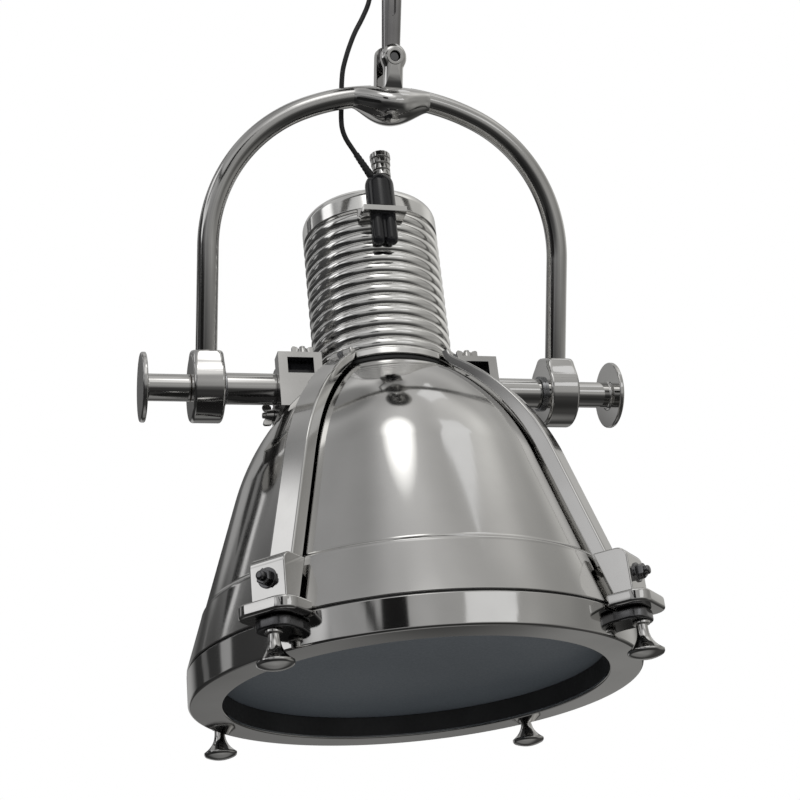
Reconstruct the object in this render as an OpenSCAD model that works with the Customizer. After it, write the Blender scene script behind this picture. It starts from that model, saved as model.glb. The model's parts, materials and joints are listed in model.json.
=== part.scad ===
// A searchlight pendant in polished metal: a bell-shaped head with a ribbed cap tilts in an arched
// yoke, and the yoke hangs by a clevis and a link from a ceiling canopy.
// Millimetres, +Z up. The origin is the middle of the ceiling plate's upper face.

/* [Ceiling fitting] */
// Diameter of the ceiling plate
plate_d = 96; // [84:1:108]
// Thickness of the ceiling plate
plate_t = 4; // [3:0.5:6]
// Distance between the two ceiling screws
screw_spacing = 64; // [52:1:72]
// Diameter of a ceiling screw's hole
screw_hole_d = 5.5; // [4:0.1:7]
// Diameter of the canopy at the ceiling
canopy_d = 124; // [118:1:150]
// Height of the canopy
canopy_h = 30; // [27:1:40]
// Wall of the canopy
canopy_wall = 1.6; // [1:0.1:2.5]
// Diameter of the fork's threaded shank
shank_d = 12; // [10:0.5:14]
// Height of the ring nut that holds the canopy up
ring_nut_h = 6; // [4:0.5:9]

/* [Hanger] */
// Diameter of both hanger pins
pin_d = 10; // [8:0.5:12]
// Distance between the hanger pins
link_len = 92; // [80:1:130]
// Width of the link at its lower end
link_w = 18; // [16:0.5:20]
// Width of the link at its upper end
link_top_w = 21; // [19:0.5:24]
// Thickness of the link
link_t = 13; // [10:0.5:20]
// Thickness of one ear of the fork or the clevis
ear_t = 10; // [7:0.5:12]
// Width of an ear below its eye
ear_w = 19; // [16:0.5:24]
// Radius of an ear's eye
ear_r = 13; // [11:0.5:15]
// Height of the fork above its pin
fork_reach = 20; // [19:0.5:30]
// Height of the clevis pin above the hub
clevis_reach = 28; // [27:0.5:40]

/* [Yoke] */
// Distance between the two yoke eyes
yoke_span = 360; // [350:1:390]
// Height of the yoke's crown above the tilt axis
yoke_rise = 295; // [285:1:330]
// Diameter of the yoke's rod
rod_d = 21; // [16:0.5:23]
// Radius of the yoke's shoulders
shoulder_r = 150; // [110:1:165]
// Radius of the yoke's crown
crown_r = 225; // [205:1:260]
// Radius of the hub's bowl
hub_r = 36; // [32:0.5:42]
// Depth of the hub's bowl below its rim
hub_depth = 33; // [30:0.5:38]
// Height of the hub's flat top above the rod's middle
hub_top = 9; // [6:0.5:12]
// Radius of a yoke eye
eye_r = 34; // [30:0.5:38]
// Width of a yoke eye
eye_w = 30; // [26:0.5:38]

/* [Trunnions] */
// Forward tilt of the head at rest, in degrees
head_tilt = 25.5; // [0:0.5:45]
// Diameter of the trunnion shaft
shaft_d = 31; // [28:0.5:33]
// Diameter of the shaft's journal in the yoke eye
journal_d = 26; // [22:0.5:27]
// Diameter of the shaft's threaded end
thread_d = 16; // [12:0.5:18]
// Wall of the bronze bush in the yoke eye
bush_wall = 4; // [2:0.5:6]
// Diameter of the lock knob's stem
stem_d = 26.5; // [22:0.5:30]
// Length of the lock knob's stem
stem_len = 43; // [34:0.5:50]
// Diameter of the lock knob's disc
disc_d = 68; // [56:1:76]
// Thickness of the lock knob's disc
disc_t = 5; // [4:0.5:8]
// Distance from the lamp's axis to the outer face of a trunnion block
block_reach = 112; // [106:0.5:116]
// Front-to-back depth of a trunnion block
block_depth = 52; // [46:1:60]
// Height of a trunnion block
block_h = 58; // [54:1:64]
// Thickness of a trunnion block's front plate and of its foot
block_wall = 18; // [16:0.5:20]

/* [Bell] */
// Radius of the bell at its rim
bell_rim_r = 207; // [202:0.5:210]
// Radius of the bell at its neck
bell_neck_r = 75; // [74:0.5:78]
// Depth of the bell from neck to rim
bell_depth = 276; // [266:1:288]
// Angle of the bell's straight wall, in degrees
bell_angle = 17.5; // [15:0.5:20]
// Radius of the bell's dome
dome_r = 235; // [215:1:260]
// Wall of the bell
bell_wall = 3; // [2:0.5:4]
// Height of the raised band above the rim
band_h = 51; // [47:1:60]
// How far the band stands out of the wall
band_step = 1.2; // [0.8:0.1:2]

/* [Cap] */
// Radius of the cap over its ribs
cap_r = 70; // [66:0.5:71]
// Height of the cap above its seal
cap_h = 194; // [188:1:210]
// Number of ribs
rib_count = 13; // [9:1:14]
// Distance from rib to rib
rib_pitch = 12; // [11:0.1:12.2]
// Depth of the grooves between the ribs
rib_depth = 2.5; // [2:0.5:5]
// Wall of the cap inside the grooves
cap_wall = 5; // [4:0.5:7]
// Thickness of the black seal under the cap
seal_t = 6; // [4:0.5:8]

/* [Straps] */
// Width of a strap
strap_w = 25; // [22:0.5:32]
// Thickness of a strap along the bell's wall
strap_t = 14; // [10:0.5:16]
// Thickness of a strap at the cap
strap_tip_t = 9; // [6:0.5:12]
// Gap between a strap and the bell
strap_gap = 2.5; // [2:0.5:6]
// Width of the block at a strap's foot
foot_w = 35; // [33:0.5:42]
// Height of the block at a strap's foot
foot_h = 42; // [36:0.5:46]
// Radius of the foot block's rounded upper corner
foot_round = 10; // [6:0.5:12]
// Gap between the foot block and the bell
foot_gap = 5.5; // [4.5:0.5:6.5]
// How far the foot block stands out past the bezel
foot_reach = 21; // [18:0.5:24]
// Thickness of the tab under the foot block
tab_t = 11.5; // [8:0.5:13]
// Width of the tab
tab_w = 56; // [48:0.5:62]

/* [Bezel and glass] */
// Radius of the bezel
bezel_r = 208; // [206:0.5:212]
// Height of the bezel
bezel_h = 29; // [28:0.5:36]
// Radius of the bezel's opening
opening_r = 177; // [170:0.5:180]
// Radius of the bezel's rounded lower edge
bezel_fillet = 2.5; // [2:0.5:7]
// Depth from the bezel's lower face to the glass
glass_recess = 22; // [18:0.5:23]
// Thickness of the glass
glass_t = 5; // [3:0.5:6]
// Thickness of the lug under each tab
lug_t = 10; // [8:0.5:12]
// Distance from the lamp's axis to a thumbscrew
thumb_circle_r = 225; // [223:0.5:227]
// Diameter of a thumbscrew's foot
thumb_d = 32; // [26:0.5:36]
// Length of a thumbscrew below its lug
thumb_len = 33; // [28:0.5:40]
// Diameter of a thumbscrew's thread
thumb_thread_d = 10; // [8:0.5:11]

/* [Cord entry] */
// Diameter of the cord
cord_d = 5; // [4:0.1:6]
// Sideways place of the cord grip
grip_x = -7; // [-8:0.5:-5]
// Distance from the lamp's axis to the cord grip's middle
grip_r = 78.5; // [77:0.5:80]
// Diameter of the grip's barrel
barrel_d = 29; // [26:0.5:32]
// Height of the grip's barrel
barrel_h = 41; // [38:0.5:44]
// Length of the grip's boot below its bracket
boot_h = 32; // [26:0.5:40]
// Thickness of the grip's bracket
bracket_t = 6; // [4:0.5:8]
// Width of the grip's bracket
bracket_w = 44; // [42:0.5:54]
// Diameter of the clamp knob
clamp_d = 21; // [18:0.5:23]
// Height of the clamp knob
clamp_h = 21; // [18:0.5:26]

/* [Lamp inside] */
// Diameter of the lampholder
holder_d = 44; // [38:0.5:52]
// Height of the lampholder
holder_h = 46; // [40:0.5:56]
// Diameter of the bulb
bulb_d = 70; // [60:1:84]
// Gap between the reflector and the bell
reflector_gap = 7; // [4:0.5:9]

/* [Clearances] */
// Radial play of a running fit
run_play = 0.05; // [0.02:0.01:0.1]
// Gap between pieces that bear on each other
seat_gap = 0.3; // [0.2:0.05:0.4]
// Gap on each side of a piece between two ears
side_gap = 0.5; // [0.3:0.1:0.8]

/* [Hidden] */
$fn = 96;
eps = 0.01;

// Heights of the hanger, from the ceiling down to the tilt axis
fork_pin_z = -canopy_h - ring_nut_h - fork_reach;
clevis_pin_z = fork_pin_z - link_len;
hub_top_z = clevis_pin_z - clevis_reach;
drop = yoke_rise + hub_top - hub_top_z;
bridge_t = 6;
clevis_bridge_t = 12;
fork_w = link_t + 2 * side_gap + 2 * ear_t;
pin_recess = 2;
plate_hole_y = 32;
plate_hole_d = 12;
terminal_len = 30;
terminal_w = 12;
pin_head_t = 3;
pin_head_d = pin_d + 6;

// Yoke rod: the shoulder arc meets the leg and the crown arc without a kink
half_span = yoke_span / 2;
shoulder_x = half_span - shoulder_r;
crown_z = yoke_rise - crown_r;
shoulder_z = crown_z + sqrt(pow(crown_r - shoulder_r, 2) - pow(shoulder_x, 2));
shoulder_a = atan2(shoulder_z - crown_z, shoulder_x);
arm_inset = 20;
hub_rim = 5;
hub_edge = 4;
crown_end_a = 90 - asin(arm_inset / crown_r);
bush_r = journal_d / 2 + run_play + bush_wall;
leg_foot_z = bush_r + 4;
eye_neck_h = eye_r + 3;
clevis_shank_d = 14;
clevis_shank_len = 24;

// Trunnion shaft, from the block outwards
washer_t = 3;
eye_in_x = half_span - eye_w / 2;
eye_out_x = half_span + eye_w / 2;
shoulder_stop_x = eye_in_x - washer_t - 2 * seat_gap;
knob_in_x = eye_out_x + seat_gap;
thread_end_x = knob_in_x + stem_len - 4;
spigot_d = 20;
spigot_len = 14;
boss_r = 20;
stud_d = 6;
stud_len = 12;
foot_stud_in = 8;
foot_stud_up = 9;
top_stud_in = 27;
top_stud_back = 11;

// Bell: a straight wall that runs into a dome, found from the rim, the neck and the dome's radius
wall_out = [cos(bell_angle), sin(bell_angle)];
wall_up = [-sin(bell_angle), cos(bell_angle)];
rim_point = [bell_rim_r, -bell_depth];
neck_point = [bell_neck_r, 0];
from_rim = neck_point - rim_point + dome_r * wall_out;
wall_run = from_rim * wall_up
  - sqrt(pow(dome_r, 2) - (from_rim * from_rim - pow(from_rim * wall_up, 2)));
dome_c = rim_point + wall_run * wall_up - dome_r * wall_out;
neck_a = atan2(neck_point.y - dome_c.y, neck_point.x - dome_c.x);
dome_steps = 14;
band_z = band_h - bell_depth;

// Strap feet, bezel and glass, counted down from the neck
tab_top_z = 6 - bell_depth;
tab_end_z = tab_top_z - tab_t;
foot_top_z = tab_top_z + foot_h;
foot_face_r = bezel_r + foot_reach;
strap_over = 4;
strap_top_h = 15;
strap_top_t = 8;
strap_bolt_head_d = 8;
strap_bolt_d = 4;
foot_screw_d = 8;
foot_screw_depth = 14;
rim_gap = 1.5;
bezel_top_z = -bell_depth - rim_gap;
bezel_end_z = bezel_top_z - bezel_h;
glass_z = bezel_end_z + glass_recess;
gasket_t = 2;
gasket_w = 4;
lip_t = 3;
glass_r = opening_r + 14;
bezel_bore_r = glass_r + 1.5;
lug_top_z = tab_end_z - 0.5;
lug_end_z = lug_top_z - lug_t;
lug_w = 34;
tab_end_r = 12;
tab_edge = 18;
lug_end_r = 10;
lug_edge = 9;
thumb_collar_w = 2.5;
thumb_collar_t = 3;
thumb_hole_play = 0.75;
STRAP_ANGLES = [-45, -135, 135, 45];

// Cap and cord grip, counted up from the neck
cap_z = seal_t;
cap_top_z = cap_z + cap_h;
cap_base_h = 8;
strap_bolt_z = cap_z + cap_base_h / 2;
cap_base_r = cap_r + 3;
cap_shoulder_r = 14;
cap_in_r = cap_r - rib_depth - cap_wall;
rib_z = cap_z + cap_base_h + 1;
rib_groove = 0.6;
rib_half = (rib_pitch - rib_groove) / 2;
rib_r = (pow(rib_half, 2) + pow(rib_depth, 2)) / (2 * rib_depth);
bracket_drop = 46;
bracket_z = cap_top_z - bracket_drop;
bracket_top_z = bracket_z + bracket_t;
bracket_wall = 3.5;
bracket_back_h = 16;
bracket_screw_room = 0.75;
bracket_screw_d = (bracket_w - barrel_d) / 2 - 2 * bracket_screw_room;
barrel_top_z = bracket_top_z + barrel_h;
ring_h = 7;
ring_d = 18;
clamp_x = grip_x + 4;
clamp_z = barrel_top_z + ring_h + seat_gap;
clamp_bolt_d = 6;
clamp_bolt_len = 18;
flute_count = 12;
flute_d = 3;
lobe_d = 13;
cable_hole_d = 8;
cable_hole_drop = 20;

// Lamp inside the head
holder_rise = 84;
disc_in_z = cap_z + holder_rise;
disc_in_t = 3;
holder_z = disc_in_z - holder_h;
holder_bore_d = 27;
bulb_neck_d = 26;
bulb_z = holder_z - bulb_d / 2 - 22;
reflector_t = 1.5;

// Cord, from the terminal block in the canopy down behind the yoke to the grip
CORD_ROUTE = [
  [-14, 30, -17], [-14, 30, -29], [-14, 30, -41], [-14, 28, -54], [-15, 24, -67], [-17, 21, -79],
  [-20, 19, -91], [-26, 18, -105], [-33, 17, -119], [-38, 17, -132], [-42, 17, -145], [-45, 17, -158],
  [-46, 17, -171], [-46, 17, -184], [-46, 17, -195], [-46, 17, -206], [-45, 16, -217], [-41, 16, -227],
  [-34, 16, -237], [-28, 16, -245], [-22, 16, -253], [-16, 16, -261]];
cord_last = len(CORD_ROUTE) - 1;
link_from = 6;
yoke_from = 13;
cord_sides = 8;
relief_len = 24;
relief_root = 8;
relief_base_d = 8.4;
relief_tip_d = 6.2;
relief_end = CORD_ROUTE[cord_last];
relief_far = CORD_ROUTE[cord_last - 3];
bush_hole_d = 9;
bush_at = CORD_ROUTE[0];

// Places

// The yoke's frame: the origin is where the tilt axis crosses the middle plane.
module at_yoke() {
  translate([0, 0, -drop]) children();
}

// The head's frame: the same origin, tilted forward, with the lamp's axis along Z.
module at_head() {
  at_yoke() rotate([-head_tilt, 0, 0]) children();
}

// Both ends of the tilt axis, with local Z pointing outwards along it
module along_axis(side) {
  rotate([0, side * 90, 0]) children();
}

// The spot under a strap's tab, with X pointing outwards
module at_strap(index) {
  at_head() rotate([0, 0, STRAP_ANGLES[index]]) children();
}

// Shared shapes

function arc_points(centre, radius, from, to, steps) =
  [for (i = [0:steps]) let (a = from + (to - from) * i / steps) centre + radius * [cos(a), sin(a)]];

function backwards(points) = [for (i = [len(points) - 1:-1:0]) points[i]];

// The bell's outline, moved out along its normal and carried on past the neck by an angle
function bell_line(out, over = 0) = concat(
  arc_points(dome_c, dome_r + out, neck_a + over, bell_angle, dome_steps),
  [rim_point + out * wall_out]);

// The outer outline of a strap, which is thicker along the wall than at the cap
function strap_line() = concat(
  [for (i = [0:dome_steps])
    let (
      t = i / dome_steps,
      a = neck_a + strap_over + (bell_angle - neck_a - strap_over) * t,
      out = strap_gap + strap_tip_t + (strap_t - strap_tip_t) * t
    )
    dome_c + (dome_r + out) * [cos(a), sin(a)]],
  [rim_point + (strap_gap + strap_t) * wall_out]);

// Radius of the straight wall at a height
function wall_r(z) = bell_rim_r - (z + bell_depth) * tan(bell_angle);

// A solid of the space inside the bell's outline, moved out along its normal
module bell_space(out) {
  line = bell_line(out);
  rotate_extrude() polygon(concat([[0, line[0].y]], line, [[0, line[len(line) - 1].y]]));
}

// A shell between two outlines of the bell
module bell_shell(inner, outer) {
  rotate_extrude() polygon(concat(bell_line(outer), backwards(bell_line(inner))));
}

module ring(outer_r, inner_r, z, height) {
  translate([0, 0, z]) difference() {
    cylinder(r = outer_r, h = height);
    translate([0, 0, -1]) cylinder(r = inner_r, h = height + 2);
  }
}

// A plate along X with its far corners rounded
module rounded_tab(start, end, width, corner, z, height) {
  translate([start, -width / 2, z]) cube([end - corner - start, width, height]);
  translate([start, corner - width / 2, z]) cube([end - start, width - 2 * corner, height]);
  for (side = [-1, 1])
    translate([end - corner, side * (width / 2 - corner), z]) cylinder(r = corner, h = height);
}

// A cross pin along Y
module cross_hole(d, length) {
  rotate([90, 0, 0]) cylinder(d = d, h = length, center = true);
}

// Two ears on a bridge above a pin that runs along Y through the origin
module forked_end(reach, bridge) {
  difference() {
    union() {
      for (side = [-1, 1])
        translate([0, side * (fork_w - ear_t) / 2, 0]) {
          translate([-ear_w / 2, -ear_t / 2, 0]) cube([ear_w, ear_t, reach]);
          cross_hole(2 * ear_r, ear_t);
        }
      translate([-ear_w / 2, -fork_w / 2, reach - bridge]) cube([ear_w, fork_w, bridge]);
    }
    cross_hole(pin_d + 2 * run_play, fork_w + 2);
  }
}

// A pin through a forked end: recessed at the front, with a head at the back
module hanger_pin() {
  length = fork_w - pin_recess;
  translate([0, pin_recess / 2, 0]) cross_hole(pin_d, length);
  translate([0, fork_w / 2 + pin_head_t / 2, 0]) cross_hole(pin_head_d, pin_head_t);
}

// A hexagon bolt head with a washer, standing on the XY plane
module hex_head(across, height) {
  cylinder(d = across * 1.35, h = 1.5);
  translate([0, 0, 1.5]) cylinder(d = across * 1.15, h = height, $fn = 6);
}

// A length of the cord, swept along its route with one ring of points at each route point
function unit(v) = v / norm(v);
function route_dir(i) = unit(CORD_ROUTE[min(i + 1, cord_last)] - CORD_ROUTE[max(i - 1, 0)]);
function ring_points(i) =
  let (dir = route_dir(i), side = unit(cross(dir, [0, 1, 0])), up = cross(side, dir))
  [for (k = [0:cord_sides - 1])
    let (a = 360 * k / cord_sides) CORD_ROUTE[i] + cord_d / 2 * (cos(a) * side + sin(a) * up)];
module cord_length(from, to) {
  n = cord_sides;
  rings = to - from;
  points = [for (i = [from:to]) each ring_points(i)];
  walls = [for (i = [0:rings - 1]) for (k = [0:n - 1])
    let (a = i * n + k, b = i * n + (k + 1) % n) each [[a, a + n, b + n], [a, b + n, b]]];
  start_cap = [for (k = [1:n - 2]) [0, k, k + 1]];
  end_cap = [for (k = [1:n - 2]) [rings * n, rings * n + k + 1, rings * n + k]];
  polyhedron(points, concat(walls, start_cap, end_cap), convexity = 6);
}

// Ceiling fitting

module ceiling_plate() {
  boss_h = 10;
  color("gray") difference() {
    union() {
      translate([0, 0, -plate_t]) cylinder(d = plate_d, h = plate_t);
      translate([0, 0, -plate_t - boss_h]) cylinder(d = shank_d + 10, h = boss_h + eps);
    }
    for (side = [-1, 1])
      translate([side * screw_spacing / 2, 0, -plate_t - 1]) cylinder(d = screw_hole_d, h = plate_t + 2);
    translate([0, 0, -plate_t - boss_h - 1])
      cylinder(d = shank_d + 2 * run_play, h = plate_t + boss_h + 2);
    translate([0, -plate_hole_y, -plate_t - 1]) cylinder(d = plate_hole_d, h = plate_t + 2);
  }
}

module canopy() {
  foot_h = 5;
  dome_h = canopy_h - foot_h;
  top_r = shank_d + 10;
  bulge = canopy_d / 2 - top_r;
  steps = 12;
  curve = [for (i = [0:steps]) let (a = 90 * i / steps)
    [top_r + bulge * cos(a), -foot_h - dome_h * sin(a)]];
  inside = [for (p = curve)
    [p.x - canopy_wall * (p.x - top_r) / bulge, p.y - canopy_wall * (p.y + foot_h) / dome_h]];
  color("silver") difference() {
    rotate_extrude() polygon(concat(
      [[canopy_d / 2 - canopy_wall, 0], [canopy_d / 2, 0]], curve,
      [[shank_d / 2 + seat_gap, -canopy_h], [shank_d / 2 + seat_gap, -canopy_h + canopy_wall]],
      backwards(inside)));
    translate([bush_at.x, bush_at.y, -canopy_h - 5]) cylinder(d = bush_hole_d, h = canopy_h);
  }
}

module ring_nut() {
  color("silver") ring(shank_d + 2, shank_d / 2 + run_play, -canopy_h - ring_nut_h, ring_nut_h);
}

module ceiling_fork() {
  color("silver") translate([0, 0, fork_pin_z]) {
    forked_end(fork_reach - seat_gap, bridge_t);
    translate([0, 0, fork_reach - seat_gap - eps])
      cylinder(d = shank_d, h = canopy_h + ring_nut_h + seat_gap - 1);
  }
}

module fork_pin() {
  color("dimgray") translate([0, 0, fork_pin_z]) hanger_pin();
}

module cord_bush() {
  flange_t = 2;
  bore_d = cord_d + 0.4;
  color("black") translate([bush_at.x, bush_at.y, 0]) {
    ring(bush_hole_d / 2 - run_play, bore_d / 2, -canopy_h - flange_t, flange_t + canopy_wall + 2);
    ring(bush_hole_d / 2 + 3, bore_d / 2, -canopy_h - flange_t, flange_t - seat_gap);
  }
}

module terminal_block() {
  size = [terminal_len, terminal_w, terminal_w];
  color("ivory") translate([bush_at.x - 4, bush_at.y - size.y / 2, -plate_t - size.z]) difference() {
    cube(size);
    for (way = [0:2])
      translate([(way + 0.5) * size.x / 3, size.y / 2, -1]) cylinder(d = size.y / 3, h = 2 * size.z / 3);
  }
}

// Hanger link

module hanger_link() {
  top_r = link_top_w / 2;
  low_r = link_w / 2 + 1;
  groove_w = 6;
  groove_t = 4;
  groove_z = [link_len / 2, link_len - 16];
  color("darkgray") translate([0, 0, clevis_pin_z]) difference() {
    union() {
      cross_hole(2 * low_r, link_t);
      translate([0, 0, link_len]) cross_hole(2 * top_r, link_t);
      rotate([90, 0, 0]) linear_extrude(link_t, center = true)
        polygon([[-link_w / 2, 0], [link_w / 2, 0], [top_r, link_len], [-top_r, link_len]]);
    }
    for (z = [0, link_len])
      translate([0, 0, z]) cross_hole(pin_d + 2 * run_play, link_t + 2);
    for (side = [-1, 1])
      translate([0, side * link_t / 2, 0]) {
        for (z = groove_z)
          translate([0, 0, z]) cross_hole(groove_w, 2 * groove_t);
        translate([-groove_w / 2, -groove_t, groove_z[0]])
          cube([groove_w, 2 * groove_t, groove_z[1] - groove_z[0]]);
      }
  }
}

// Yoke

module clevis() {
  color("silver") translate([0, 0, clevis_pin_z]) {
    mirror([0, 0, 1]) forked_end(clevis_reach, clevis_bridge_t);
    translate([0, 0, -clevis_reach - clevis_shank_len])
      cylinder(d = clevis_shank_d, h = clevis_shank_len + eps);
  }
}

module clevis_pin() {
  color("dimgray") translate([0, 0, clevis_pin_z]) hanger_pin();
}

// One arm of the yoke: leg, shoulder and half the crown, up to its end in the hub, with a low weld
// bead where the bends meet
module arm_shape() {
  bead_d = rod_d + 0.4;
  bead_w = 3;
  translate([shoulder_x, 0, shoulder_z]) rotate([0, -shoulder_a, 0])
    translate([shoulder_r, 0, -bead_w / 2]) cylinder(d = bead_d, h = bead_w);
  translate([half_span, 0, leg_foot_z]) cylinder(d = rod_d, h = shoulder_z - leg_foot_z);
  translate([shoulder_x, 0, shoulder_z]) rotate([90, 0, 0])
    rotate_extrude(angle = shoulder_a) translate([shoulder_r, 0]) circle(d = rod_d);
  translate([0, 0, crown_z]) rotate([90, 0, 0]) rotate([0, 0, shoulder_a])
    rotate_extrude(angle = crown_end_a - shoulder_a) translate([crown_r, 0]) circle(d = rod_d);
}

module yoke_arm_right() {
  color("silver") at_yoke() arm_shape();
}

module yoke_arm_left() {
  color("silver") at_yoke() mirror([1, 0, 0]) arm_shape();
}

// A bowl with a flat top, which takes both arms and the clevis
module yoke_hub() {
  top_z = yoke_rise + hub_top;
  rim_z = top_z - hub_rim;
  steps = 12;
  bowl = [for (i = [0:steps]) let (a = 90 * i / steps)
    [hub_r * cos(a), rim_z - hub_depth * pow(sin(a), 1.5)]];
  color("silver") at_yoke() difference() {
    rotate_extrude() polygon(concat([[0, top_z], [hub_r - hub_edge, top_z]], bowl));
    arm_shape();
    mirror([1, 0, 0]) arm_shape();
    translate([0, 0, top_z - clevis_shank_len - 1])
      cylinder(d = clevis_shank_d + 2 * run_play, h = clevis_shank_len + 2);
  }
}

// A round eye on the tilt axis with a squared neck that takes the leg
module eye_shape() {
  neck_w = rod_d + 9;
  neck_d = rod_d + 5;
  difference() {
    union() {
      rotate([0, 90, 0]) cylinder(r = eye_r, h = eye_w, center = true);
      translate([-neck_w / 2, -neck_d / 2, 0]) cube([neck_w, neck_d, eye_neck_h]);
    }
    rotate([0, 90, 0]) cylinder(r = bush_r + run_play, h = eye_w + 2, center = true);
    translate([0, 0, leg_foot_z]) cylinder(d = rod_d, h = eye_neck_h);
  }
}

module yoke_eye_right() {
  color("silver") at_yoke() translate([half_span, 0, 0]) eye_shape();
}

module yoke_eye_left() {
  color("silver") at_yoke() translate([-half_span, 0, 0]) eye_shape();
}

module eye_bush(side) {
  at_yoke() along_axis(side) ring(bush_r, journal_d / 2 + run_play, eye_in_x, eye_w);
}

module eye_bush_right() {
  color("peru") eye_bush(1);
}

module eye_bush_left() {
  color("peru") eye_bush(-1);
}

module thrust_washers() {
  color("lightgray") at_yoke() for (side = [-1, 1]) along_axis(side)
    ring(shaft_d / 2 + 2.5, journal_d / 2 + 0.5, eye_in_x - seat_gap - washer_t, washer_t);
}

// Trunnions

// The stud on the outer face of a trunnion block's foot
module at_foot_stud(side) {
  translate([side * block_reach, block_depth / 2 - foot_stud_in, foot_stud_up - block_h / 2])
    along_axis(side) children();
}

// The stud on top of a trunnion block
module at_top_stud(side) {
  translate([side * (block_reach - top_stud_in), top_stud_back - block_depth / 2, block_h / 2]) children();
}

module stud_hole() {
  translate([0, 0, -stud_len - 1]) cylinder(d = stud_d + 2 * run_play, h = stud_len + 2);
}

module trunnion_shaft(side) {
  color("silver") at_head() along_axis(side) {
    translate([0, 0, block_reach - spigot_len]) cylinder(d = spigot_d, h = spigot_len + eps);
    translate([0, 0, block_reach]) cylinder(d = shaft_d, h = shoulder_stop_x - block_reach);
    translate([0, 0, shoulder_stop_x - eps])
      cylinder(d = journal_d, h = eye_out_x - seat_gap - shoulder_stop_x);
    translate([0, 0, eye_out_x - 2 * seat_gap]) cylinder(d = thread_d, h = thread_end_x - eye_out_x);
  }
}

module trunnion_shaft_right() {
  trunnion_shaft(1);
}

module trunnion_shaft_left() {
  trunnion_shaft(-1);
}

// A front plate and a foot on the bell, with a round boss that holds the shaft
module trunnion_block(side) {
  pocket_w = 26;
  pocket_h = 17;
  pocket_d = 14;
  pocket_z = 6;
  pocket_x = 9;
  color("silver") at_head() difference() {
    union() {
      translate([side > 0 ? 0 : -block_reach, -block_depth / 2, -block_h / 2]) {
        cube([block_reach, block_wall, block_h]);
        cube([block_reach, block_depth, block_wall]);
      }
      along_axis(side) cylinder(r = boss_r, h = block_reach);
    }
    bell_space(seat_gap);
    translate([0, 0, -eps]) cylinder(r = cap_base_r + seat_gap, h = block_h);
    translate([side > 0 ? block_reach - pocket_x - pocket_w : pocket_x - block_reach,
               -block_depth / 2 - 1, pocket_z])
      cube([pocket_w, pocket_d + 1, pocket_h]);
    along_axis(side) translate([0, 0, block_reach - spigot_len - 1])
      cylinder(d = spigot_d + 2 * run_play, h = spigot_len + 2);
    at_foot_stud(side) stud_hole();
    at_top_stud(side) stud_hole();
  }
}

module trunnion_block_right() {
  trunnion_block(1);
}

module trunnion_block_left() {
  trunnion_block(-1);
}

// A wing nut on its stud, standing on the XY plane
module wing_nut() {
  span = 22;
  wing_h = 9;
  wing_t = 4;
  nut_h = 8;
  translate([0, 0, -stud_len]) cylinder(d = stud_d, h = stud_len + nut_h + 3);
  cylinder(d1 = 13, d2 = 10, h = nut_h);
  for (turn = [0, 180])
    rotate([0, 0, turn]) {
      translate([0, -wing_t / 2, 2]) cube([span / 2 - wing_h / 2, wing_t, wing_h]);
      translate([span / 2 - wing_h / 2, 0, 2 + wing_h / 2]) cross_hole(wing_h, wing_t);
    }
}

module wing_nuts() {
  color("silver") at_head() for (side = [-1, 1]) {
    at_foot_stud(side) wing_nut();
    at_top_stud(side) wing_nut();
  }
}

module lock_knob(side) {
  rim = 1.5;
  bore_len = thread_end_x - knob_in_x + 1;
  color("silver") at_head() along_axis(side) translate([0, 0, knob_in_x]) difference() {
    union() {
      cylinder(d = stem_d, h = stem_len + eps);
      translate([0, 0, stem_len]) cylinder(d1 = disc_d - 2 * rim, d2 = disc_d, h = rim + eps);
      translate([0, 0, stem_len + rim]) cylinder(d = disc_d, h = disc_t - 2 * rim + eps);
      translate([0, 0, stem_len + disc_t - rim]) cylinder(d1 = disc_d, d2 = disc_d - 2 * rim, h = rim);
    }
    translate([0, 0, -1]) cylinder(d = thread_d + 2 * run_play, h = bore_len + 1);
  }
}

module lock_knob_right() {
  lock_knob(1);
}

module lock_knob_left() {
  lock_knob(-1);
}

// Bell and what is in it

module bell() {
  band_edge = [wall_r(band_z), band_z];
  step = band_step * wall_out;
  outside = concat(
    arc_points(dome_c, dome_r, neck_a, bell_angle, dome_steps),
    [band_edge, band_edge + step, rim_point + step]);
  color("silver") at_head() intersection() {
    rotate_extrude() polygon(concat(outside, backwards(bell_line(-bell_wall))));
    translate([0, 0, -bell_depth]) cylinder(r = 2 * bell_rim_r, h = bell_depth);
  }
}

module reflector() {
  flange_z = 12 - bell_depth;
  out = bell_wall + reflector_gap;
  fit_r = wall_r(flange_z + reflector_t) - bell_wall / cos(bell_angle) - seat_gap;
  color("whitesmoke") at_head() {
    intersection() {
      bell_shell(-out - reflector_t, -out);
      translate([0, 0, flange_z]) cylinder(r = bell_rim_r, h = bell_depth);
    }
    ring(fit_r, wall_r(flange_z) - (out + reflector_t) / cos(bell_angle), flange_z, reflector_t);
  }
}

module cap_seal() {
  color("black") at_head() ring(cap_r + 1, cap_in_r, seat_gap, seal_t - 2 * seat_gap);
}

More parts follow.
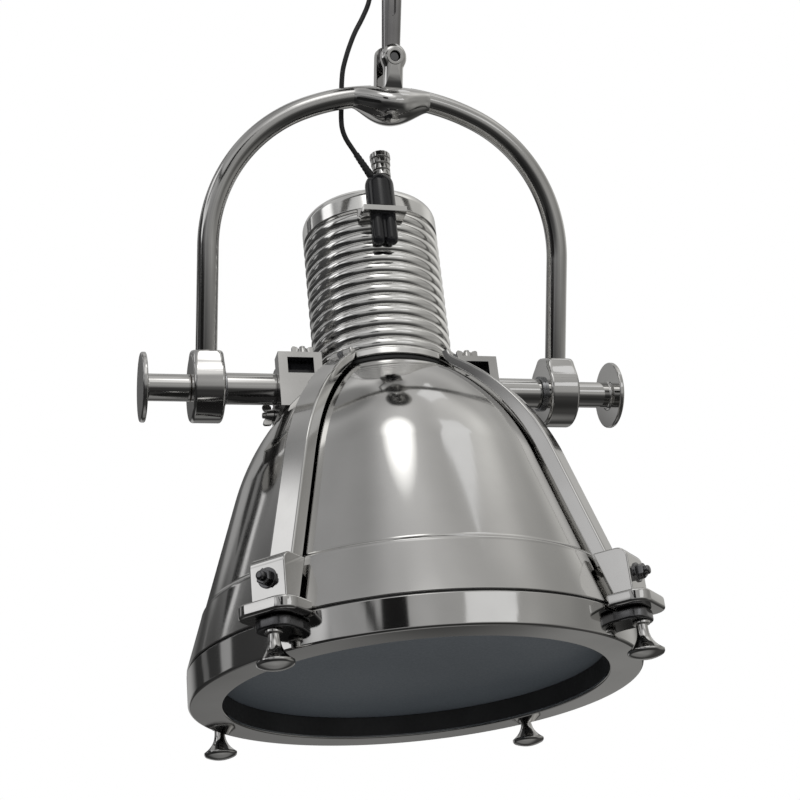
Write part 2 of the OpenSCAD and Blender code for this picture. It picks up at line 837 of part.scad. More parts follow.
module cap() {
  groove_r = cap_r - rib_depth;
  roof_t = cap_wall;
  corner = cap_shoulder_r;
  plain_z = rib_z + rib_count * rib_pitch;
  color("silver") at_head() difference() {
    union() {
      translate([0, 0, cap_z]) cylinder(r = groove_r, h = plain_z - cap_z + eps);
      translate([0, 0, cap_z]) cylinder(r = cap_base_r, h = cap_base_h);
      for (i = [0:rib_count - 1])
        translate([0, 0, rib_z + (i + 0.5) * rib_pitch]) rotate_extrude() intersection() {
          translate([cap_r - rib_r, 0]) circle(r = rib_r);
          translate([groove_r - 0.5, -rib_half]) square([rib_depth + 1, 2 * rib_half]);
        }
      rotate_extrude() polygon(concat(
        [[0, plain_z], [cap_r, plain_z]],
        arc_points([cap_r - corner, cap_top_z - corner], corner, 0, 90, 8), [[0, cap_top_z]]));
    }
    translate([0, 0, cap_z - 1]) cylinder(r = cap_in_r, h = cap_h - roof_t + 1);
    for (a = STRAP_ANGLES)
      rotate([0, 0, a]) translate([0, 0, strap_bolt_z]) rotate([0, 90, 0])
        cylinder(d = strap_bolt_d + 2 * run_play, h = 2 * cap_r);
    translate([grip_x, -grip_r, bracket_z - cable_hole_drop]) rotate([-90, 0, 0])
      cylinder(d = cable_hole_d, h = grip_r - cap_in_r + cable_hole_d);
  }
}

module holder_disc() {
  color("lightgray") at_head() ring(cap_in_r - run_play, 6, disc_in_z, disc_in_t);
}

module lampholder() {
  color("white") at_head() difference() {
    translate([0, 0, holder_z]) cylinder(d = holder_d, h = holder_h - run_play);
    translate([0, 0, holder_z - 1]) cylinder(d = holder_bore_d, h = holder_h - 8);
  }
}

module bulb() {
  neck_top = holder_z + holder_h - 12;
  color("white", 0.6) at_head() {
    translate([0, 0, bulb_z]) sphere(d = bulb_d);
    translate([0, 0, bulb_z]) cylinder(d = bulb_neck_d + 8, h = holder_z - bulb_z - 6);
    translate([0, 0, holder_z - 7]) cylinder(d1 = bulb_neck_d + 8, d2 = bulb_neck_d, h = 6);
    translate([0, 0, holder_z - 2]) cylinder(d = bulb_neck_d, h = neck_top - holder_z);
  }
}

// Straps with their feet

// The block at a strap's foot, with a rounded upper corner and a gap to the bell
module foot_block() {
  inner_r = foot_face_r - foot_round;
  difference() {
    union() {
      translate([bell_neck_r, -foot_w / 2, tab_top_z - eps])
        cube([inner_r - bell_neck_r, foot_w, foot_h + eps]);
      translate([bell_neck_r, -foot_w / 2, tab_top_z - eps])
        cube([foot_face_r - bell_neck_r, foot_w, foot_h - foot_round + eps]);
      translate([inner_r, 0, foot_top_z - foot_round]) cross_hole(2 * foot_round, foot_w);
    }
    bell_space(foot_gap);
  }
}

module strap(index) {
  color("silver") at_strap(index) difference() {
    union() {
      intersection() {
        rotate_extrude() polygon(concat(strap_line(), backwards(bell_line(strap_gap, strap_over))));
        translate([0, -strap_w / 2, foot_top_z - 4]) cube([2 * bell_rim_r, strap_w, bell_depth]);
      }
      translate([cap_r, -strap_w / 2, seat_gap])
        cube([cap_base_r + seat_gap + strap_top_t - cap_r, strap_w, strap_top_h - seat_gap]);
      foot_block();
      rounded_tab(bell_neck_r, thumb_circle_r + tab_edge, tab_w, tab_end_r, tab_end_z, tab_t);
    }
    bell_space(band_step + seat_gap);
    cylinder(r = cap_base_r + seat_gap, h = cap_h);
    translate([0, 0, bezel_end_z]) cylinder(r = bezel_r + 1, h = tab_top_z - bezel_end_z);
    translate([thumb_circle_r, 0, tab_end_z - 1])
      cylinder(d = thumb_thread_d + 2 * run_play, h = tab_t + 8);
    translate([0, 0, strap_bolt_z]) rotate([0, 90, 0])
      cylinder(d = strap_bolt_d + 2 * run_play, h = 2 * cap_r);
    translate([cap_base_r + seat_gap + strap_top_t, 0, strap_bolt_z]) rotate([0, 90, 0])
      cylinder(d = strap_bolt_head_d + 1, h = 20);
    translate([foot_face_r - foot_screw_depth - 2, 0, foot_top_z - foot_h / 2]) rotate([0, 90, 0])
      cylinder(d = foot_screw_d + 2 * run_play, h = foot_screw_depth + 6);
  }
}

module strap_front_right() {
  strap(0);
}

module strap_front_left() {
  strap(1);
}

module strap_rear_left() {
  strap(2);
}

module strap_rear_right() {
  strap(3);
}

module strap_bolts() {
  face = cap_base_r + seat_gap + strap_top_t;
  depth = strap_top_t + 10;
  color("dimgray") for (i = [0:3]) at_strap(i)
    translate([face, 0, strap_bolt_z]) rotate([0, 90, 0]) {
      translate([0, 0, -depth]) cylinder(d = strap_bolt_d, h = depth + eps);
      cylinder(d1 = strap_bolt_head_d, d2 = strap_bolt_head_d - 2, h = 2);
    }
}

module foot_screws() {
  depth = foot_screw_depth;
  color("dimgray") for (i = [0:3]) at_strap(i)
    translate([foot_face_r, 0, foot_top_z - foot_h / 2]) rotate([0, 90, 0]) {
      translate([0, 0, -depth]) cylinder(d = foot_screw_d, h = depth + eps);
      hex_head(12, 6);
      translate([0, 0, 7]) cylinder(d = foot_screw_d, h = 5);
    }
}

// Bezel, glass and thumbscrews

module rim_gasket() {
  color("black") at_head()
    ring(bell_rim_r - 1, bezel_bore_r + 1, bezel_top_z + 0.1, rim_gap - 0.2);
}

module bezel() {
  edge = bezel_fillet;
  lip_cut = 1.5;
  shelf_r = opening_r + gasket_w;
  shelf_z = glass_z - gasket_t;
  lip_z = bezel_end_z + lip_t;
  color("silver") at_head() difference() {
    union() {
      rotate_extrude() polygon(concat(
        [[bezel_bore_r, bezel_top_z], [bezel_r, bezel_top_z]],
        backwards(arc_points([bezel_r - edge, bezel_end_z + edge], edge, -90, 0, 6)),
        [[opening_r + lip_cut, bezel_end_z], [opening_r, bezel_end_z + lip_cut], [opening_r, lip_z],
         [shelf_r, lip_z], [shelf_r, shelf_z], [bezel_bore_r, shelf_z]]));
      for (a = STRAP_ANGLES)
        rotate([0, 0, a])
          rounded_tab(bezel_bore_r + 4, thumb_circle_r + lug_edge, lug_w, lug_end_r, lug_end_z, lug_t);
    }
    for (a = STRAP_ANGLES)
      rotate([0, 0, a]) translate([thumb_circle_r, 0, bezel_end_z - 1]) {
        cylinder(d = thumb_thread_d + 2 * thumb_hole_play, h = bezel_h + 2);
        cylinder(d = thumb_thread_d + 2 * (thumb_collar_w + thumb_hole_play),
          h = lug_end_z - bezel_end_z + 1);
      }
  }
}

module lens_gasket() {
  low_z = bezel_end_z + lip_t;
  color("black") at_head() rotate_extrude() polygon([
    [opening_r, low_z], [opening_r + gasket_w, low_z], [opening_r + gasket_w, glass_z - gasket_t],
    [glass_r, glass_z - gasket_t], [glass_r, glass_z], [opening_r, glass_z]]);
}

module glass() {
  color("lightslategray", 0.7) at_head() translate([0, 0, glass_z]) cylinder(r = glass_r, h = glass_t);
}

module glass_clips() {
  clip_w = 18;
  clip_t = 2.5;
  clip_len = 22;
  clip_h = 12;
  out_r = bezel_bore_r - 2 * seat_gap;
  color("dimgray") for (i = [0:3]) at_strap(i)
    translate([out_r - clip_len, -clip_w / 2, glass_z + glass_t]) {
      cube([clip_len, clip_w, clip_t]);
      translate([clip_len - clip_t, 0, 0]) cube([clip_t, clip_w, clip_h]);
    }
}

// A thumbscrew with a trumpet foot, hanging from its lug
module thumbscrew(index) {
  thread_r = thumb_thread_d / 2;
  foot_r = thumb_d / 2;
  top_z = tab_top_z - 2;
  collar_r = thread_r + thumb_collar_w;
  collar_z = lug_end_z - seat_gap;
  flare_z = collar_z - thumb_collar_t;
  end_z = lug_end_z - thumb_len;
  rim_z = end_z + 7;
  steps = 10;
  flare = [for (i = [0:steps]) let (t = i / steps)
    [thread_r + (foot_r - thread_r) * pow(t, 3), flare_z + (rim_z - flare_z) * t]];
  color("silver") at_strap(index) translate([thumb_circle_r, 0, 0]) rotate_extrude() polygon(concat(
    [[0, top_z], [thread_r, top_z], [thread_r, collar_z], [collar_r, collar_z],
     [collar_r, flare_z]],
    flare, [[foot_r, rim_z - 3], [foot_r - 2, rim_z - 4.5], [foot_r / 2, end_z + 0.8], [0, end_z]]));
}

module thumbscrew_front_right() {
  thumbscrew(0);
}

module thumbscrew_front_left() {
  thumbscrew(1);
}

module thumbscrew_rear_left() {
  thumbscrew(2);
}

module thumbscrew_rear_right() {
  thumbscrew(3);
}

// Cord grip

// The grip's own place: on the front of the cap, with Z along the lamp's axis
module at_grip() {
  at_head() translate([grip_x, -grip_r, 0]) children();
}

module grip_bracket() {
  neck_d = barrel_d - 8;
  color("silver") at_head() difference() {
    union() {
      intersection() {
        ring(cap_r + seat_gap + bracket_wall, cap_r - 1, bracket_z, bracket_back_h);
        translate([grip_x - bracket_w / 2, -2 * cap_r, 0]) cube([bracket_w, 2 * cap_r, 2 * cap_h]);
      }
      translate([grip_x - bracket_w / 2, -grip_r - barrel_d / 2, bracket_z])
        cube([bracket_w, barrel_d, bracket_t]);
    }
    cylinder(r = cap_r + seat_gap, h = 2 * cap_h);
    translate([grip_x, -grip_r, 0]) cylinder(d = neck_d + 2 * run_play, h = 2 * cap_h);
    translate([grip_x, -grip_r, bracket_top_z]) cylinder(d = barrel_d + 1, h = barrel_h);
  }
}

module bracket_screws() {
  x = (bracket_w + barrel_d) / 4;
  color("silver") for (side = [-1, 1]) at_grip() translate([side * x, 0, bracket_top_z]) {
    cylinder(d = bracket_screw_d, h = 2);
    translate([0, 0, 2]) cylinder(d1 = bracket_screw_d, d2 = bracket_screw_d / 2, h = 1.2);
  }
}

// The room for the strain relief, seen from the grip's own place
module relief_room() {
  translate([-grip_x, grip_r, 0]) rotate([head_tilt, 0, 0]) translate([0, 0, drop]) at_relief()
    translate([0, 0, -relief_root - 0.5]) cylinder(d = relief_base_d + 2 * run_play, h = relief_len);
}

module cord_grip() {
  neck_d = barrel_d - 8;
  shoulder = [7, 11];
  steps = 8;
  lobe_y = -2;
  lobe_z = bracket_z - boot_h + lobe_d / 2;
  lobe_h = boot_h - lobe_d / 2;
  color("black") at_grip() difference() {
    union() {
      translate([0, 0, bracket_top_z]) rotate_extrude() polygon(concat(
        [[0, 0], [barrel_d / 2, 0]],
        [for (i = [0:steps]) let (a = 90 * i / steps)
          [barrel_d / 2 - shoulder.x * (1 - cos(a)), barrel_h - shoulder.y * (1 - sin(a))]],
        [[0, barrel_h]]));
      translate([0, 0, bracket_z - eps]) cylinder(d = neck_d, h = bracket_t + 2 * eps);
      for (side = [-1, 1])
        translate([side * lobe_d / 2, lobe_y, lobe_z]) {
          cylinder(d = lobe_d, h = lobe_h);
          sphere(d = lobe_d);
        }
      translate([-lobe_d / 2, lobe_y - lobe_d / 4, lobe_z]) cube([lobe_d, lobe_d / 2, lobe_h]);
    }
    translate([clamp_x - grip_x, 0, barrel_top_z - clamp_bolt_len - 1])
      cylinder(d = clamp_bolt_d + 2 * run_play, h = clamp_bolt_len + 2);
    translate([-grip_x, grip_r, 0]) cylinder(r = cap_r + seat_gap, h = cap_top_z + seat_gap);
    relief_room();
  }
}

module grip_ring() {
  color("silver") at_grip() difference() {
    translate([clamp_x - grip_x, 0, 0]) ring(ring_d / 2, clamp_bolt_d / 2 + seat_gap, barrel_top_z, ring_h);
    relief_room();
  }
}

// A knob of three fluted tiers on a bolt
module clamp_knob() {
  tier = clamp_h / 3;
  waist = 1;
  edge = 1.5;
  flute_r = (clamp_d + flute_d) / 2 - 1.2;
  color("silver") at_grip() translate([clamp_x - grip_x, 0, clamp_z]) difference() {
    union() {
      translate([0, 0, -ring_h - clamp_bolt_len])
        cylinder(d = clamp_bolt_d, h = ring_h + clamp_bolt_len + eps);
      cylinder(d = clamp_d - 3, h = tier - waist);
      translate([0, 0, tier - waist - eps]) cylinder(d = clamp_d - 5, h = waist + 2 * eps);
      translate([0, 0, tier]) cylinder(d = clamp_d - 1.5, h = tier - waist);
      translate([0, 0, 2 * tier - waist - eps]) cylinder(d = clamp_d - 5, h = waist + 2 * eps);
      translate([0, 0, 2 * tier]) cylinder(d = clamp_d, h = tier - edge);
      translate([0, 0, 3 * tier - edge - eps]) cylinder(d1 = clamp_d - 3, d2 = clamp_d - 6, h = edge + eps);
    }
    for (k = [0:flute_count - 1])
      rotate([0, 0, 360 * k / flute_count]) translate([flute_r, 0, tier - waist / 2])
        cylinder(d = flute_d, h = 2 * tier);
  }
}

// The line of the cord's last stretch, with Z from the grip back up the cord
module at_relief() {
  dir = relief_far - relief_end;
  translate(relief_end) rotate([0, acos(dir.z / norm(dir)), atan2(dir.y, dir.x)]) children();
}

module strain_relief() {
  color("black") at_relief() difference() {
    translate([0, 0, -relief_root])
      cylinder(d1 = relief_base_d, d2 = relief_tip_d, h = relief_len + relief_root);
    translate([0, 0, -seat_gap]) cylinder(d = cord_d + 2 * run_play, h = relief_len + 1);
  }
}

module cord_top() {
  color("black") cord_length(0, link_from);
}

module cord_mid() {
  color("black") cord_length(link_from, yoke_from);
}

module cord_low() {
  color("black") cord_length(yoke_from, cord_last);
}

ceiling_plate();
canopy();
ring_nut();
ceiling_fork();
fork_pin();
cord_bush();
terminal_block();
hanger_link();
clevis();
clevis_pin();
yoke_hub();
yoke_arm_left();
yoke_arm_right();
yoke_eye_left();
yoke_eye_right();
eye_bush_left();
eye_bush_right();
thrust_washers();
trunnion_shaft_left();
trunnion_shaft_right();
trunnion_block_left();
trunnion_block_right();
wing_nuts();
lock_knob_left();
lock_knob_right();
bell();
reflector();
cap_seal();
cap();
holder_disc();
lampholder();
bulb();
strap_front_right();
strap_front_left();
strap_rear_left();
strap_rear_right();
strap_bolts();
foot_screws();
rim_gasket();
bezel();
lens_gasket();
glass();
glass_clips();
thumbscrew_front_right();
thumbscrew_front_left();
thumbscrew_rear_left();
thumbscrew_rear_right();
grip_bracket();
bracket_screws();
cord_grip();
grip_ring();
clamp_knob();
strain_relief();
cord_top();
cord_mid();
cord_low();
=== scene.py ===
import json
from math import asin, atan2, cos, degrees, exp, hypot, pi, radians, sin, sqrt, tan

import bmesh
import bpy
from mathutils import Matrix, Vector, noise


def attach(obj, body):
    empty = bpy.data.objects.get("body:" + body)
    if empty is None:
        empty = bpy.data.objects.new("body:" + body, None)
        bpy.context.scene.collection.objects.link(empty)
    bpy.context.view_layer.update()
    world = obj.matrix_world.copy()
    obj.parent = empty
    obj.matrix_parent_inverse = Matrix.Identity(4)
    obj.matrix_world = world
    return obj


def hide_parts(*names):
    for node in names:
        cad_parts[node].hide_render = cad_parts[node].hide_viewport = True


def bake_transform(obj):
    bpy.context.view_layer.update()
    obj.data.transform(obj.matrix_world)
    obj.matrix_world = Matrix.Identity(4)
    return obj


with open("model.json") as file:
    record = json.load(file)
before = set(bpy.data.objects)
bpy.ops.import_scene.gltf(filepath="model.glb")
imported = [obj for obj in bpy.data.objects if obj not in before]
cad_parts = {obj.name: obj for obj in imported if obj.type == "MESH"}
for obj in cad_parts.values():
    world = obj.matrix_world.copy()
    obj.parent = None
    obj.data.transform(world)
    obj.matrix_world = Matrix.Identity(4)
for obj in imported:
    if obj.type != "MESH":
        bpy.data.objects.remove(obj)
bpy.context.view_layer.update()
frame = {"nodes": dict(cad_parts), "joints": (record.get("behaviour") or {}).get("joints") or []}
scene = bpy.context.scene
scene.view_settings.view_transform = "Standard"

# Places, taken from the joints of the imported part

MM = 0.001
JOINTS = {joint["name"]: joint for joint in frame["joints"]}
PIVOT = Vector(JOINTS["head_tilt"]["pos_m"])
FORK_PIN = Vector(JOINTS["link_swing"]["pos_m"])
CLEVIS_PIN = Vector(JOINTS["yoke_swing"]["pos_m"])
LAMP_UP = -Vector(JOINTS["thumbscrew_front_right_back_off"]["axis"]).normalized()
SIDEWAYS = Vector((1, 0, 0))
BACKWARD = Vector((0, 1, 0))
UPWARD = Vector((0, 0, 1))


def axes(x, y, z, origin):
    """A matrix from three axes and an origin in metres; lengths in it are in millimetres."""
    turn = Matrix((x, y, z)).transposed().to_4x4()
    return Matrix.Translation(origin) @ turn @ Matrix.Scale(MM, 4)


def plumb(origin):
    return axes(SIDEWAYS, BACKWARD, UPWARD, origin)


def spin(angle, axis="Z"):
    return Matrix.Rotation(radians(angle), 4, axis)


def turned(place, angle, axis="Z"):
    return place @ spin(angle, axis)


def moved(place, x, y, z):
    return place @ Matrix.Translation((x, y, z))


def along_axis(place, side):
    """Local Z points out along the tilt axis."""
    return turned(place, 90 * side, "Y")


AS_MADE = Matrix.Identity(4)
AT_CEILING = Matrix.Scale(MM, 4)
AT_YOKE = plumb(PIVOT)
AT_HEAD = axes(SIDEWAYS, LAMP_UP.cross(SIDEWAYS), LAMP_UP, PIVOT)
SIDES = {"left": -1, "right": 1}
CORNERS = {"front_right": -45, "front_left": -135, "rear_left": 135, "rear_right": 45}

# Sizes in millimetres, mostly as in the part's source

ROD_R = 10.5
HALF_SPAN = 180
YOKE_RISE = 295
SHOULDER_R = 150
CROWN_R = 225
CROWN_Z = YOKE_RISE - CROWN_R
HUB_R = 36
HUB_HALF_W = 30
HUB_LOW = 266
EYE_R = 34
EYE_W = 30
SHAFT_R = 15.5
JOURNAL_R = 13
BLOCK_REACH = 112
STEM_R = 13.25
STEM_LEN = 43
DISC_R = 34
DISC_T = 5
KNOB_IN = HALF_SPAN + EYE_W / 2 + 0.3
SHAFT_STOP = HALF_SPAN - EYE_W / 2 - 3.6
JOURNAL_END = HALF_SPAN + EYE_W / 2 - 0.3
THREAD_END = KNOB_IN + STEM_LEN - 4.6
PIN_R = 5
EAR_R = 13.3
EAR_HALF_W = 9.5
EAR_IN = 7
EAR_OUT = 17
LINK_LEN = 92
LINK_T = 13

BELL_RIM_R = 207
BELL_NECK_R = 75
BELL_DEPTH = 276
BELL_ANGLE = radians(17.5)
DOME_R = 235
BELL_WALL = 3
BAND_H = 51
BAND_STEP = 1.2
CAP_R = 70
CAP_Z = 6
CAP_TOP = 200
CAP_BASE_R = 73
CAP_BASE_H = 8
RIB_COUNT = 13
RIB_PITCH = 12
RIB_DEPTH = 2.5
RIB_GROOVE = 0.6
STRAP_W = 25
STRAP_T = 14
STRAP_TIP_T = 9
STRAP_GAP = 2.5
FOOT_W = 35
FOOT_TOP = -228
FOOT_REACH = 229
FOOT_GAP = 5.5
FOOT_ROUND = 10
TAB_TOP = -270
TAB_END = -281.5
TAB_W = 56
TAB_EDGE = 18
TAB_ROUND = 14
LUG_TOP = -282
LUG_END = -292
LUG_W = 34
LUG_EDGE = 9
LUG_ROUND = 12
BEZEL_R = 208
BEZEL_GAP = 1.2
BEZEL_TOP = -277.5
BEZEL_END = -306.5
OPENING_R = 177
GLASS_R = 191
GLASS_Z = -284.5
GLASS_T = 5
SHELF_R = OPENING_R + 4
LIP_Z = BEZEL_END + 3
SEAT_Z = GLASS_Z - 2
THUMB_CIRCLE_R = 225
THUMB_END = -325
THUMB_R = 16
GRIP_X = -7
GRIP_Y = -78.5
CLAMP_X = -3
BRACKET_Z = 154
BRACKET_TOP = 160
BRACKET_SCREW_X = 18.25
BARREL_R = 14.5
BOOT_H = 32
BARREL_TOP = 201
RING_TOP = 208
CLAMP_TOP = 229.3
CORD_D = 5

# The cord's route, as in the part's source, from the canopy to the grip
CORD_ROUTE = [
    (-14, 30, -17), (-14, 30, -29), (-14, 30, -41), (-14, 28, -54), (-15, 24, -67), (-17, 21, -79),
    (-20, 19, -91), (-26, 18, -105), (-33, 17, -119), (-38, 17, -132), (-42, 17, -145), (-45, 17, -158),
    (-46, 17, -171), (-46, 17, -184), (-46, 17, -195), (-46, 17, -206), (-45, 16, -217), (-41, 16, -227),
    (-34, 16, -237), (-28, 16, -245), (-22, 16, -253), (-16, 16, -261)]
# Points of the route: where the bush ends, the link's length and the yoke's begin, the yoke's rod is
# passed and the strain relief begins
LINK_FROM = 6
YOKE_FROM = 13
RELIEF_FROM = 18

# Camera, fitted to the photo. At the tilt axis a pixel is a millimetre, so the focal length in pixels is
# also the distance in mm. The axis's offset from the middle of the picture is in mm, azimuth and elevation
# are in degrees

PHOTO_PX = 800
SENSOR_MM = 36
FOCAL_PX = 1513.42
AZIMUTH = -15.01
ELEVATION = -0.17
ROLL = radians(0.87)
PIVOT_OFFSET = (-14.37, 8.6)
NEAREST = 0.01


def linked(name, data):
    obj = bpy.data.objects.new(name, data)
    scene.collection.objects.link(obj)
    return obj


def direction(azimuth, elevation):
    """From degrees; azimuth 0 is in front and 90 on the right."""
    a, e = radians(azimuth), radians(elevation)
    return Vector((sin(a) * cos(e), -cos(a) * cos(e), sin(e)))


def make_camera():
    back = direction(AZIMUTH, ELEVATION)
    level = UPWARD.cross(back).normalized()
    upward = back.cross(level)
    right = level * cos(ROLL) + upward * sin(ROLL)
    up = upward * cos(ROLL) - level * sin(ROLL)
    data = bpy.data.cameras.new("camera")
    data.sensor_width = SENSOR_MM
    data.lens = SENSOR_MM * FOCAL_PX / PHOTO_PX
    data.clip_start = NEAREST
    camera = linked("camera", data)
    eye = PIVOT + MM * (FOCAL_PX * back - PIVOT_OFFSET[0] * right - PIVOT_OFFSET[1] * up)
    turn = Matrix((right, up, back)).transposed().to_4x4()
    camera.matrix_world = Matrix.Translation(eye) @ turn
    scene.camera = camera


make_camera()

# Outlines

# Half of a corner's angle, in radians, from which it counts as straight
STRAIGHT = 1.55
# The most of an edge that a round takes up
EDGE_SHARE = 0.49


def eased(t):
    """A soft step from 0 to 1."""
    return t * t * (3 - 2 * t)


def spread(first, last, steps):
    return [first + (last - first) * i / steps for i in range(steps + 1)]


def arc(centre, radius, start, end, steps):
    """Points on an arc, with angles in degrees."""
    turns = [radians(angle) for angle in spread(start, end, steps)]
    return [(centre[0] + radius * cos(a), centre[1] + radius * sin(a)) for a in turns]


def rounded(corners, steps=5):
    """A closed outline with its corners rounded; a corner is (x, y) or (x, y, radius)."""
    outline = []
    count = len(corners)
    for i, corner in enumerate(corners):
        here = Vector(corner[:2])
        radius = corner[2] if len(corner) > 2 else 0
        before = Vector(corners[i - 1][:2]) - here
        after = Vector(corners[(i + 1) % count][:2]) - here
        half = before.angle(after) / 2 if before.length and after.length else pi / 2
        if radius <= 0 or half > STRAIGHT:
            outline.append(tuple(here))
            continue
        reach = min(radius / tan(half), EDGE_SHARE * before.length, EDGE_SHARE * after.length)
        radius = reach * tan(half)
        start = here + before.normalized() * reach
        end = here + after.normalized() * reach
        centre = here + (before.normalized() + after.normalized()).normalized() * radius / sin(half)
        a = atan2(*(start - centre).yx)
        b = atan2(*(end - centre).yx)
        sweep = (b - a + pi) % (2 * pi) - pi
        for k in range(steps + 1):
            angle = a + sweep * k / steps
            outline.append((centre.x + radius * cos(angle), centre.y + radius * sin(angle)))
    return outline


def oblong(half_x, half_y, low_round, high_round, steps):
    return rounded([(-half_x, -half_y, low_round), (half_x, -half_y, low_round),
                    (half_x, half_y, high_round), (-half_x, half_y, high_round)], steps)


# Meshes: a shape is a list of points and a list of faces


def lathe(outline, segments, flute=None):
    """A closed outline of (radius, height) turned about Z; flute(angle, radius) may change a radius."""
    points, faces, rings = [], [], []
    for r, z in outline:
        if abs(r) < 1e-6:
            rings.append([len(points)] * segments)
            points.append(Vector((0, 0, z)))
            continue
        rings.append(list(range(len(points), len(points) + segments)))
        for k in range(segments):
            angle = 2 * pi * k / segments
            reach = flute(angle, r) if flute else r
            points.append(Vector((reach * cos(angle), reach * sin(angle), z)))
    for i, here in enumerate(rings):
        following = rings[(i + 1) % len(rings)]
        if here[0] == here[1] and following[0] == following[1]:
            continue
        for k in range(segments):
            n = (k + 1) % segments
            corners = [here[k], here[n], following[n], following[k]]
            faces.append(list(dict.fromkeys(corners)))
    return points, faces


def ring(inner, outer, low, high, low_round=0, high_round=0, segments=48, steps=5):
    """A turned ring, or a disc if inner is 0, with rounded outer edges."""
    corners = [(inner, low), (outer, low, low_round), (outer, high, high_round), (inner, high)]
    return lathe(rounded(corners, steps), segments)


def quads(rings, count, closed=False):
    """Faces between rings of count points; closed joins the last ring to the first."""
    faces = []
    for i in range(rings if closed else rings - 1):
        here = i * count
        following = (i + 1) % rings * count
        for k in range(count):
            n = (k + 1) % count
            faces.append([here + k, here + n, following + n, following + k])
    return faces


def loft(rings):
    """A closed body through rings of points, with flat ends."""
    count = len(rings[0])
    points = [Vector(p) for r in rings for p in r]
    last = len(points) - count
    ends = [list(range(count))[::-1], list(range(last, len(points)))]
    return points, quads(len(rings), count) + ends


def prism(outline, low, high):
    """An outline in XY drawn out along Z."""
    return loft([[(x, y, low) for x, y in outline], [(x, y, high) for x, y in outline]])


def box(low, high):
    corners = [(low[0], low[1]), (high[0], low[1]), (high[0], high[1]), (low[0], high[1])]
    return prism(corners, low[2], high[2])


def eyelet(outline, hole_r, low, high, dome):
    """A plate along Z with a round hole at its origin; its upper face falls by dome towards the edge."""
    hole = [(hole_r * x / hypot(x, y), hole_r * y / hypot(x, y)) for x, y in outline]
    face = [(share, high - dome * share ** 3) for share in spread(0, 1, 6)[::-1]]
    rings = [(1, low)] + face + [(0, low)]
    points = [Vector((hx + (x - hx) * share, hy + (y - hy) * share, z))
              for share, z in rings for (x, y), (hx, hy) in zip(outline, hole)]
    return points, quads(len(rings), len(outline), closed=True)


def tube(path, radius, sides):
    """A round tube along a path."""
    path = [Vector(p) for p in path]
    turns = spread(0, 2 * pi, sides)[:-1]
    rings = []
    for i, point in enumerate(path):
        forward = (path[min(i + 1, len(path) - 1)] - path[max(i - 1, 0)]).normalized()
        side = forward.cross(BACKWARD).normalized()
        up = side.cross(forward)
        rings.append([point + radius * (cos(a) * side + sin(a) * up) for a in turns])
    return loft(rings)


def placed(shape, place):
    points, faces = shape
    flipped = place.determinant() < 0
    return [place @ p for p in points], [f[::-1] for f in faces] if flipped else faces


def upright(shape):
    """Turns a shape drawn in XY so that it stands in XZ and is drawn out along Y."""
    return placed(shape, spin(90, "X"))


def joined(*shapes):
    points, faces = [], []
    for shape_points, shape_faces in shapes:
        start = len(points)
        points += shape_points
        faces += [[start + i for i in face] for face in shape_faces]
    return points, faces


# Pieces

SHARP = radians(32)
NEARLY_FLAT = radians(0.6)
BEVEL_STEPS = 3
SAME_POINT = 1e-7
SAME_CAD_POINT = 2e-6


def apply_modifiers(obj):
    graph = bpy.context.evaluated_depsgraph_get()
    mesh = bpy.data.meshes.new_from_object(obj.evaluated_get(graph))
    obj.modifiers.clear()
    old = obj.data
    obj.data = mesh
    bpy.data.meshes.remove(old)


def smooth(obj):
    """Smooth shading in which flat faces stay flat and the rounds between them take up the turn."""
    obj.data.shade_smooth()
    obj.data.set_sharp_from_angle(angle=SHARP)
    modifier = obj.modifiers.new("even", "WEIGHTED_NORMAL")
    modifier.keep_sharp = True
    apply_modifiers(obj)


def bevelled(obj, width):
    """Rounds the sharp edges; width is in millimetres."""
    modifier = obj.modifiers.new("round", "BEVEL")
    modifier.width = width * MM
    modifier.segments = BEVEL_STEPS
    modifier.limit_method = "ANGLE"
    modifier.angle_limit = SHARP
    apply_modifiers(obj)


def finished(name, mesh, body, material, node, bevel):
    """A piece with rounded edges and a finish, which rides on a body and stands for a CAD node."""
    obj = linked(name, mesh)
    if bevel:
        bevelled(obj, bevel)
    smooth(obj)
    obj.data.materials.clear()
    obj.data.materials.append(material)
    if body:
        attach(obj, body)
    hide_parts(node)
    return obj


def shaped(name, shape, place):
    """A mesh whose faces are turned outwards."""
    points, faces = placed(shape, place)
    mesh = bpy.data.meshes.new(name)
    mesh.from_pydata(points, [], faces)
    work = bmesh.new()
    work.from_mesh(mesh)
    bmesh.ops.remove_doubles(work, verts=work.verts, dist=SAME_POINT)
    bmesh.ops.recalc_face_normals(work, faces=work.faces)
    work.to_mesh(mesh)
    work.free()
    return mesh


def piece(node, form, shape, place, body, material, bevel=0):
    """A piece with a shape of its own, named after its CAD node and its form."""
    name = f"{node}_{form}"
    return finished(name, shaped(name, shape, place), body, material, node, bevel)


def refined(node, body, material, bevel):
    """A copy of a CAD node with its edges rounded."""
    mesh = frame["nodes"][node].data.copy()
    work = bmesh.new()
    work.from_mesh(mesh)
    bmesh.ops.remove_doubles(work, verts=work.verts, dist=SAME_CAD_POINT)
    bmesh.ops.dissolve_limit(work, angle_limit=NEARLY_FLAT, verts=work.verts, edges=work.edges)
    work.to_mesh(mesh)
    work.free()
    return finished(node + "_finished", mesh, body, material, node, bevel)


# Materials


def put(tree, socket, value):
    if isinstance(value, bpy.types.NodeSocket):
        tree.links.new(value, socket)
    else:
        socket.default_value = value


def worked_out(tree, operation, first, second):
    """A number from two others."""
    node = tree.nodes.new("ShaderNodeMath")
    node.operation = operation
    put(tree, node.inputs[0], first)
    put(tree, node.inputs[1], second)
    return node.outputs[0]


